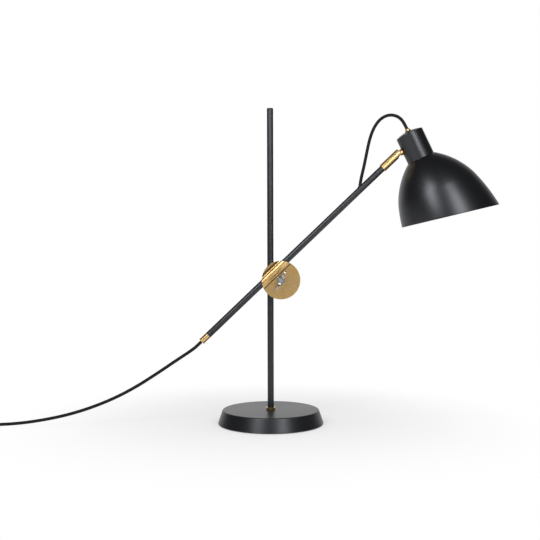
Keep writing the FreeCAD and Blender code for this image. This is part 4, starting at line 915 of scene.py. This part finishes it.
class LAMP_OT_cords(bpy.types.Operator):
    """Makes the braided cord: its tail, its coil on the floor, and the loop between arm and shade"""

    bl_idname = "lamp.cords"
    bl_label = "Cords"

    def execute(self, context):
        self.tail()
        self.loop()
        return {"FINISHED"}

    def tail(self):
        start = [ARM @ Vector((0.0, 0.0, z)) for z in TAIL_START]
        coil = [coil_point(n / COIL_STEPS) for n in range(5 * COIL_STEPS + 1)]
        before = (COIL_START[0] + 0.006, COIL_START[1], CORD_LYING)
        line = smooth_line("tail_route", [*start, *TAIL_ROUTE, before, *coil, *SWITCH_ROUTE], 5)
        stretches = cut_line(line, TAIL_CUTS)
        pairs = (("arm", "arm_clamp"), ("arm_clamp", "post_clamp"), ("post_clamp", "post"))
        reach = 0.0
        side = Vector((0.0, 1.0, 0.0))
        for n, stretch in enumerate(stretches):
            piece, side = tube(f"cord_tail_{n + 1}", stretch, CORD_RADIUS, braided_cord(), reach, side)
            reach += distances(stretch)[-1]
            if n < len(pairs):
                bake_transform(piece)
                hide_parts("tail_cord")
                declare(piece, stretch, "medium", "loose")
            else:
                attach(piece, "post")
                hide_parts("tail_cord", "cord_coil", "switch_lead")
                declare(piece, stretch, "medium", "coiled", with_pieces=[frame["nodes"]["switch_screws"]])

    def loop(self):
        out = Vector((
            -math.cos(LEAD_TURN) * math.sin(LEAD_SLANT),
            math.sin(LEAD_TURN) * math.sin(LEAD_SLANT),
            math.cos(LEAD_SLANT),
        ))
        start = [ARM @ (Vector((0.0, 0.0, LEAD_HOLE)) + out * reach) for reach in LOOP_START]
        end = [HEAD @ Vector((0.0, 0.0, GLAND_TOP + rise)) for rise in LOOP_END]
        line = smooth_line("loop_route", [*start, *LOOP_ROUTE, *end], 8)
        top = max(range(len(line)), key=lambda n: line[n].z)
        first, second = line[: top + 1], line[top:]
        piece, side = tube("cord_loop_1", first, CORD_RADIUS, braided_cord())
        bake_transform(piece)
        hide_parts("upper_loop")
        declare(piece, first, "medium", "loose")
        piece, side = tube("cord_loop_2", second, CORD_RADIUS, braided_cord(), distances(first)[-1], side)
        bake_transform(piece)
        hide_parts("upper_loop")
        declare(piece, second, "medium", "loose")


class LAMP_OT_switch_and_plug(bpy.types.Operator):
    """Makes the in-line switch, the plug, the lead between them and their strain reliefs"""

    bl_idname = "lamp.switch_and_plug"
    bl_label = "Switch and plug"

    def execute(self, context):
        edge = shapes().plastic_edge
        case = [softened(node, satin_plastic(), edge) for node in ("switch_top", "switch_bottom")]
        rocker = softened("switch_rocker", satin_plastic(), edge * 0.6)
        body = softened("plug_body", satin_plastic(), edge)
        pins = softened("plug_pins", sleeved_pins(), edge)
        line = smooth_line("plug_route", PLUG_ROUTE, 10)
        lead, _ = tube("cord_plug_lead", line, CORD_RADIUS, braided_cord())
        joined(lead, "post", "cord_sheath", "plug_lead")
        switch = [Vector((x, -0.0183, SWITCH_HEIGHT)) for x in (-0.6141, -0.6040, -0.5931)]
        reliefs = [
            self.relief("switch_relief_in", switch),
            self.relief("switch_relief_out", self.stretch(line)),
            self.relief("plug_relief", self.stretch(line[::-1])),
        ]
        declare(lead, line, "medium", "loose", "plug", with_pieces=[*case, rocker, body, pins, *reliefs])
        return {"FINISHED"}

    def stretch(self, line):
        return cut_line(line, (shapes().relief_length,))[0]

    def relief(self, name, line):
        """A moulded taper over the cord, with a few rings, from its housing outwards."""
        sizes = shapes()

        def radius(part):
            return sizes.relief_start + (sizes.relief_end - sizes.relief_start) * part

        piece, _ = tube(name, line, radius, dull_rubber())
        joined(piece, "post", "black_rubber")
        way = (line[1] - line[0]).normalized()
        place = Matrix.Translation(line[0] + way * 0.004) @ way.to_track_quat("Z", "Y").to_matrix().to_4x4()
        values = {
            "Count": 5, "Spacing": (0.0, 0.0, 0.0026), "Radius": sizes.relief_start - 0.0003,
            "Thickness": 0.0006, "Taper": 0.034, "Finish": dull_rubber(),
        }
        grown(name + "_rings", groove_tree(), values, place, "post", "black_rubber")
        return piece


# ---- metalwork


class LAMP_OT_base(bpy.types.Operator):
    """Finishes the base, its pad and the brass bush that the post turns in"""

    bl_idname = "lamp.base"
    bl_label = "Base"

    def execute(self, context):
        shell = spun("base_shell_spun", self.outline, Matrix(), (satin_lacquer(),))
        joined(shell, "base", "black_paint", "base_shell")
        softened("base_pad", pressed_felt(), 0.0006)
        softened("foot_bush", aged_brass(), shapes().metal_edge)
        return {"FINISHED"}

    def outline(self, turn):
        """The shell's outline: the flat top, the rounded edge, the leaning side and the hollow under it."""
        hole, top, under = 0.0071, 0.0273, 0.0243
        top_radius, foot_radius, inner_radius, foot_height = 0.09141, 0.1, 0.0893, 0.0023
        corner = Vector((top_radius, top))
        low = Vector((foot_radius, foot_height))
        edge = rounded(Vector((hole, top)), corner, low, 0.0030, 8)
        near_low = low.lerp(corner, 0.03)
        foot = [near_low, low, Vector((0.09935, 0.001)), Vector((0.097, 0.001))]
        return [Vector((hole, top)), *edge, *foot, Vector((inner_radius, under)), Vector((hole, under))]


class LAMP_OT_post(bpy.types.Operator):
    """Finishes the post's tube and its cap"""

    bl_idname = "lamp.post"
    bl_label = "Post"

    def execute(self, context):
        softened("post_tube", satin_lacquer(), 0.0002)
        softened("post_cap", satin_lacquer(), 0.0002)
        return {"FINISHED"}


class LAMP_OT_clamp(bpy.types.Operator):
    """Finishes the round brass clamp, its bolt and its wing nut"""

    bl_idname = "lamp.clamp"
    bl_label = "Clamp"

    def execute(self, context):
        edge = shapes().metal_edge
        for node in ("back_jaw", "post_jaw", "arm_jaw"):
            softened(node, aged_brass(), edge)
        softened("front_jaw", clamp_face_brass(), edge, 40.0)
        softened("friction_disc", fibre_lining())
        softened("clamp_washer", nickel(), edge * 0.7)
        softened("wing_nut", nickel(), 0.0006, 30.0)
        softened("clamp_bolt", steel(), edge)
        pitch = shapes().thread_pitch
        height = 0.0095
        values = {
            "Radius": 0.00395, "Height": height, "Turns": height / pitch, "Ridge": 0.00034, "Finish": steel(),
        }
        place = BOLT @ Matrix.Translation((0.0, 0.0, 0.0282))
        grown("bolt_thread", thread_tree(), values, place, "post_clamp", "plain_steel")
        return {"FINISHED"}


class LAMP_OT_arm(bpy.types.Operator):
    """Finishes the arm, its brass tail plug and the knuckle at its upper end"""

    bl_idname = "lamp.arm"
    bl_label = "Arm and knuckle"

    def execute(self, context):
        edge = shapes().metal_edge
        softened("arm_tube", satin_lacquer(), 0.0)
        softened("arm_tail_plug", aged_brass(), edge * 0.7)
        softened("cord_grommet", dull_rubber())
        softened("knuckle_sleeve", aged_brass(), edge * 0.7)
        softened("sleeve_screw", steel(), edge * 0.7)
        softened("knuckle_pin", steel(), edge)
        softened("ball_stud", aged_brass(), edge * 0.7)
        softened("stud_washer", dull_rubber())
        return {"FINISHED"}


class LAMP_OT_neck(bpy.types.Operator):
    """Finishes the neck cup and the gland where the lead goes in"""

    bl_idname = "lamp.neck"
    bl_label = "Neck"

    def execute(self, context):
        cup = spun("neck_cup_spun", self.outline, HEAD, (satin_lacquer(),))
        joined(cup, "head", "black_paint", "neck_cup")
        softened("gland_ring", satin_plastic(), 0.0002)
        softened("neck_gland", aged_brass(), 0.0003)
        return {"FINISHED"}

    def outline(self, turn):
        """The cup's outline: a straight wall, a rounded edge and a shallow dome with a hole in its middle."""
        radius, wall, height, hole = 0.026, 0.0015, 0.0513, 0.00425
        rise, dome_from, edge_to = 0.0052, 0.0244, 0.0245
        apex = height + rise
        dome = (radius * radius + rise * rise) / (2 * rise)

        def over(r, drop):
            return Vector((r, apex - dome + math.sqrt(dome * dome - r * r) - drop))

        reach = [dome_from - (dome_from - hole) * n / 12 for n in range(13)]
        edge = rounded(Vector((radius, 0.0)), Vector((radius, height)), over(edge_to, 0.0), 0.0007)
        foot = [Vector((radius - wall, 0.0)), Vector((radius, 0.0)), Vector((radius, 0.0004))]
        inside = [over(r, wall) for r in reversed(reach)]
        return [*foot, *edge, *(over(r, 0.0) for r in reach), *inside]


# ---- shade


def arc_centre(first, last, radius):
    """The centre of an arc from first to last that bulges to the right of that way."""
    half = (Vector(last) - Vector(first)) / 2
    reach = math.sqrt(radius * radius / half.length_squared - 1)
    return Vector(first) + half + Vector((-half.y, half.x)) * reach


def on_circle(centre, radius, angle):
    return centre + Vector((math.cos(angle), math.sin(angle))) * radius


class LAMP_OT_shade(bpy.types.Operator):
    """Spins the bell shade: two tangent arcs, a slanted mouth with a rounded lip, and a white lining"""

    bl_idname = "lamp.shade"
    bl_label = "Shade"

    top = Vector((0.0272, 0.0))
    shoulder = Vector((0.0757, -0.0630))
    mouth = Vector((0.0928, -0.1450))
    crown_radius = 0.1453
    flank_radius = 0.330
    hole = 0.0202
    rim_depth = 0.1199
    rim_slope = math.tan(math.radians(12.1))

    def execute(self, context):
        outside = len(self.side(0.0, 0.0))
        lip = 5
        lined = range(outside + lip, 2 * outside + lip - 1)
        finished = (satin_lacquer(), shade_lining())
        joined(spun("spun_shade", self.outline, HEAD, finished, lined), "head", "black_paint", "shade")
        return {"FINISHED"}

    def outline(self, turn):
        """The whole closed outline at one turn: down the outside, round the lip and up the lining."""
        outside = self.side(turn, 0.0)
        inside = self.side(turn, shapes().shade_wall)
        return outside + self.lip(outside, inside) + inside[::-1]

    def side(self, turn, inset):
        """The bell's line at one turn, from its top hole to the slanted mouth, moved in by the inset."""
        crown = arc_centre(self.shoulder, self.top, self.crown_radius)
        flank = arc_centre(self.mouth, self.shoulder, self.flank_radius)
        crown_radius = self.crown_radius - inset
        flank_radius = self.flank_radius - inset
        start = math.asin((-inset - crown.y) / crown_radius)
        knee = math.atan2(self.shoulder.y - crown.y, self.shoulder.x - crown.x)
        line = [Vector((self.hole, -inset)), Vector((0.5 * self.hole + 0.0136, -inset))]
        for n in range(25):
            angle = start + (knee - start) * n / 24
            line.append(on_circle(crown, crown_radius, angle))
        first = math.atan2(self.shoulder.y - flank.y, self.shoulder.x - flank.x)
        low, high = first - 0.4, first
        for _ in range(40):
            angle = (low + high) / 2
            point = on_circle(flank, flank_radius, angle)
            under = point.y + self.rim_depth + self.rim_slope * point.x * math.cos(turn)
            low, high = (angle, high) if under < 0 else (low, angle)
        for n in range(1, 19):
            angle = first + (low - first) * n / 18
            line.append(on_circle(flank, flank_radius, angle))
        return line

    def lip(self, outside, inside):
        """The rounded edge between the outside and the lining."""
        middle = (outside[-1] + inside[-1]) / 2
        across = outside[-1] - middle
        down = (outside[-1] - outside[-2]).normalized() * across.length
        angles = (math.pi * k / 6 for k in range(1, 6))
        return [middle + across * math.cos(a) + down * math.sin(a) for a in angles]


class LAMP_OT_lampholder(bpy.types.Operator):
    """Finishes the lampholder, its ribbed ring and the bulb"""

    bl_idname = "lamp.lampholder"
    bl_label = "Lampholder and bulb"

    def execute(self, context):
        edge = shapes().plastic_edge
        softened("holder_body", satin_plastic(), edge * 0.6)
        softened("shade_ring", satin_plastic(), edge * 0.5)
        softened("screw_shell", aged_brass())
        softened("bulb_cap", nickel())
        softened("bulb_glass", opal_glass())
        values = {"Count": 28, "Radius": 0.0222, "Rib": (0.0012, 0.0014, 0.0040), "Finish": satin_plastic()}
        place = HEAD @ Matrix.Translation((0.0, 0.0, -0.0059))
        grown("shade_ring_ribs", rib_tree(), values, place, "head", "black_plastic")
        values = {"Radius": 0.01295, "Height": 0.0165, "Turns": 4.6, "Ridge": 0.00055, "Finish": nickel()}
        place = HEAD @ Matrix.Translation((0.0, 0.0, -0.0040))
        grown("bulb_cap_thread", thread_tree(), values, place, "head", "nickel_plate")
        return {"FINISHED"}


class LAMP_OT_inner_nodes(bpy.types.Operator):
    """Gives the pieces that keep their machined shape their finishes"""

    bl_idname = "lamp.inner_nodes"
    bl_label = "Inner pieces"

    finish_of_slot = {
        "black_paint": satin_lacquer,
        "cast_iron": iron_casting,
        "plain_steel": steel,
        "nickel_plate": nickel,
        "brass": aged_brass,
        "felt": pressed_felt,
        "fibre_disc": fibre_lining,
        "black_rubber": dull_rubber,
        "black_plastic": satin_plastic,
        "cord_sheath": hidden_braid,
        "porcelain": porcelain,
        "bulb_glass": opal_glass,
    }

    def execute(self, context):
        for node, piece in frame["nodes"].items():
            material = self.finish_of_slot[SLOT_OF[node]]()
            for held in piece.material_slots:
                held.material = material
        return {"FINISHED"}


class LAMP_PT_panel(bpy.types.Panel):
    """Lists the lamp's pieces and its settings in the sidebar"""

    bl_idname = "LAMP_PT_panel"
    bl_label = "Table lamp"
    bl_space_type = "VIEW_3D"
    bl_region_type = "UI"
    bl_category = "Lamp"

    def draw(self, context):
        for operator in OPERATORS:
            self.layout.operator(operator.bl_idname)
        for name in GROUPS:
            group = getattr(context.scene, name)
            box = self.layout.box()
            for setting in group.__annotations__:
                box.prop(group, setting)


GROUPS = {"lamp_finishes": LampFinishes, "lamp_shapes": LampShapes, "lamp_stage": LampStage}
OPERATORS = (
    LAMP_OT_stage,
    LAMP_OT_inner_nodes,
    LAMP_OT_cords,
    LAMP_OT_switch_and_plug,
    LAMP_OT_base,
    LAMP_OT_post,
    LAMP_OT_clamp,
    LAMP_OT_arm,
    LAMP_OT_neck,
    LAMP_OT_shade,
    LAMP_OT_lampholder,
)


def register():
    for name, group in GROUPS.items():
        bpy.utils.register_class(group)
        setattr(bpy.types.Scene, name, PointerProperty(type=group))
    for operator in OPERATORS:
        bpy.utils.register_class(operator)
    bpy.utils.register_class(LAMP_PT_panel)


def unregister():
    bpy.utils.unregister_class(LAMP_PT_panel)
    for operator in reversed(OPERATORS):
        bpy.utils.unregister_class(operator)
    for name, group in reversed(GROUPS.items()):
        delattr(bpy.types.Scene, name)
        bpy.utils.unregister_class(group)


def main():
    register()
    for operator in OPERATORS:
        family, name = operator.bl_idname.split(".")
        getattr(getattr(bpy.ops, family), name)()


if __name__ == "__main__":
    main()
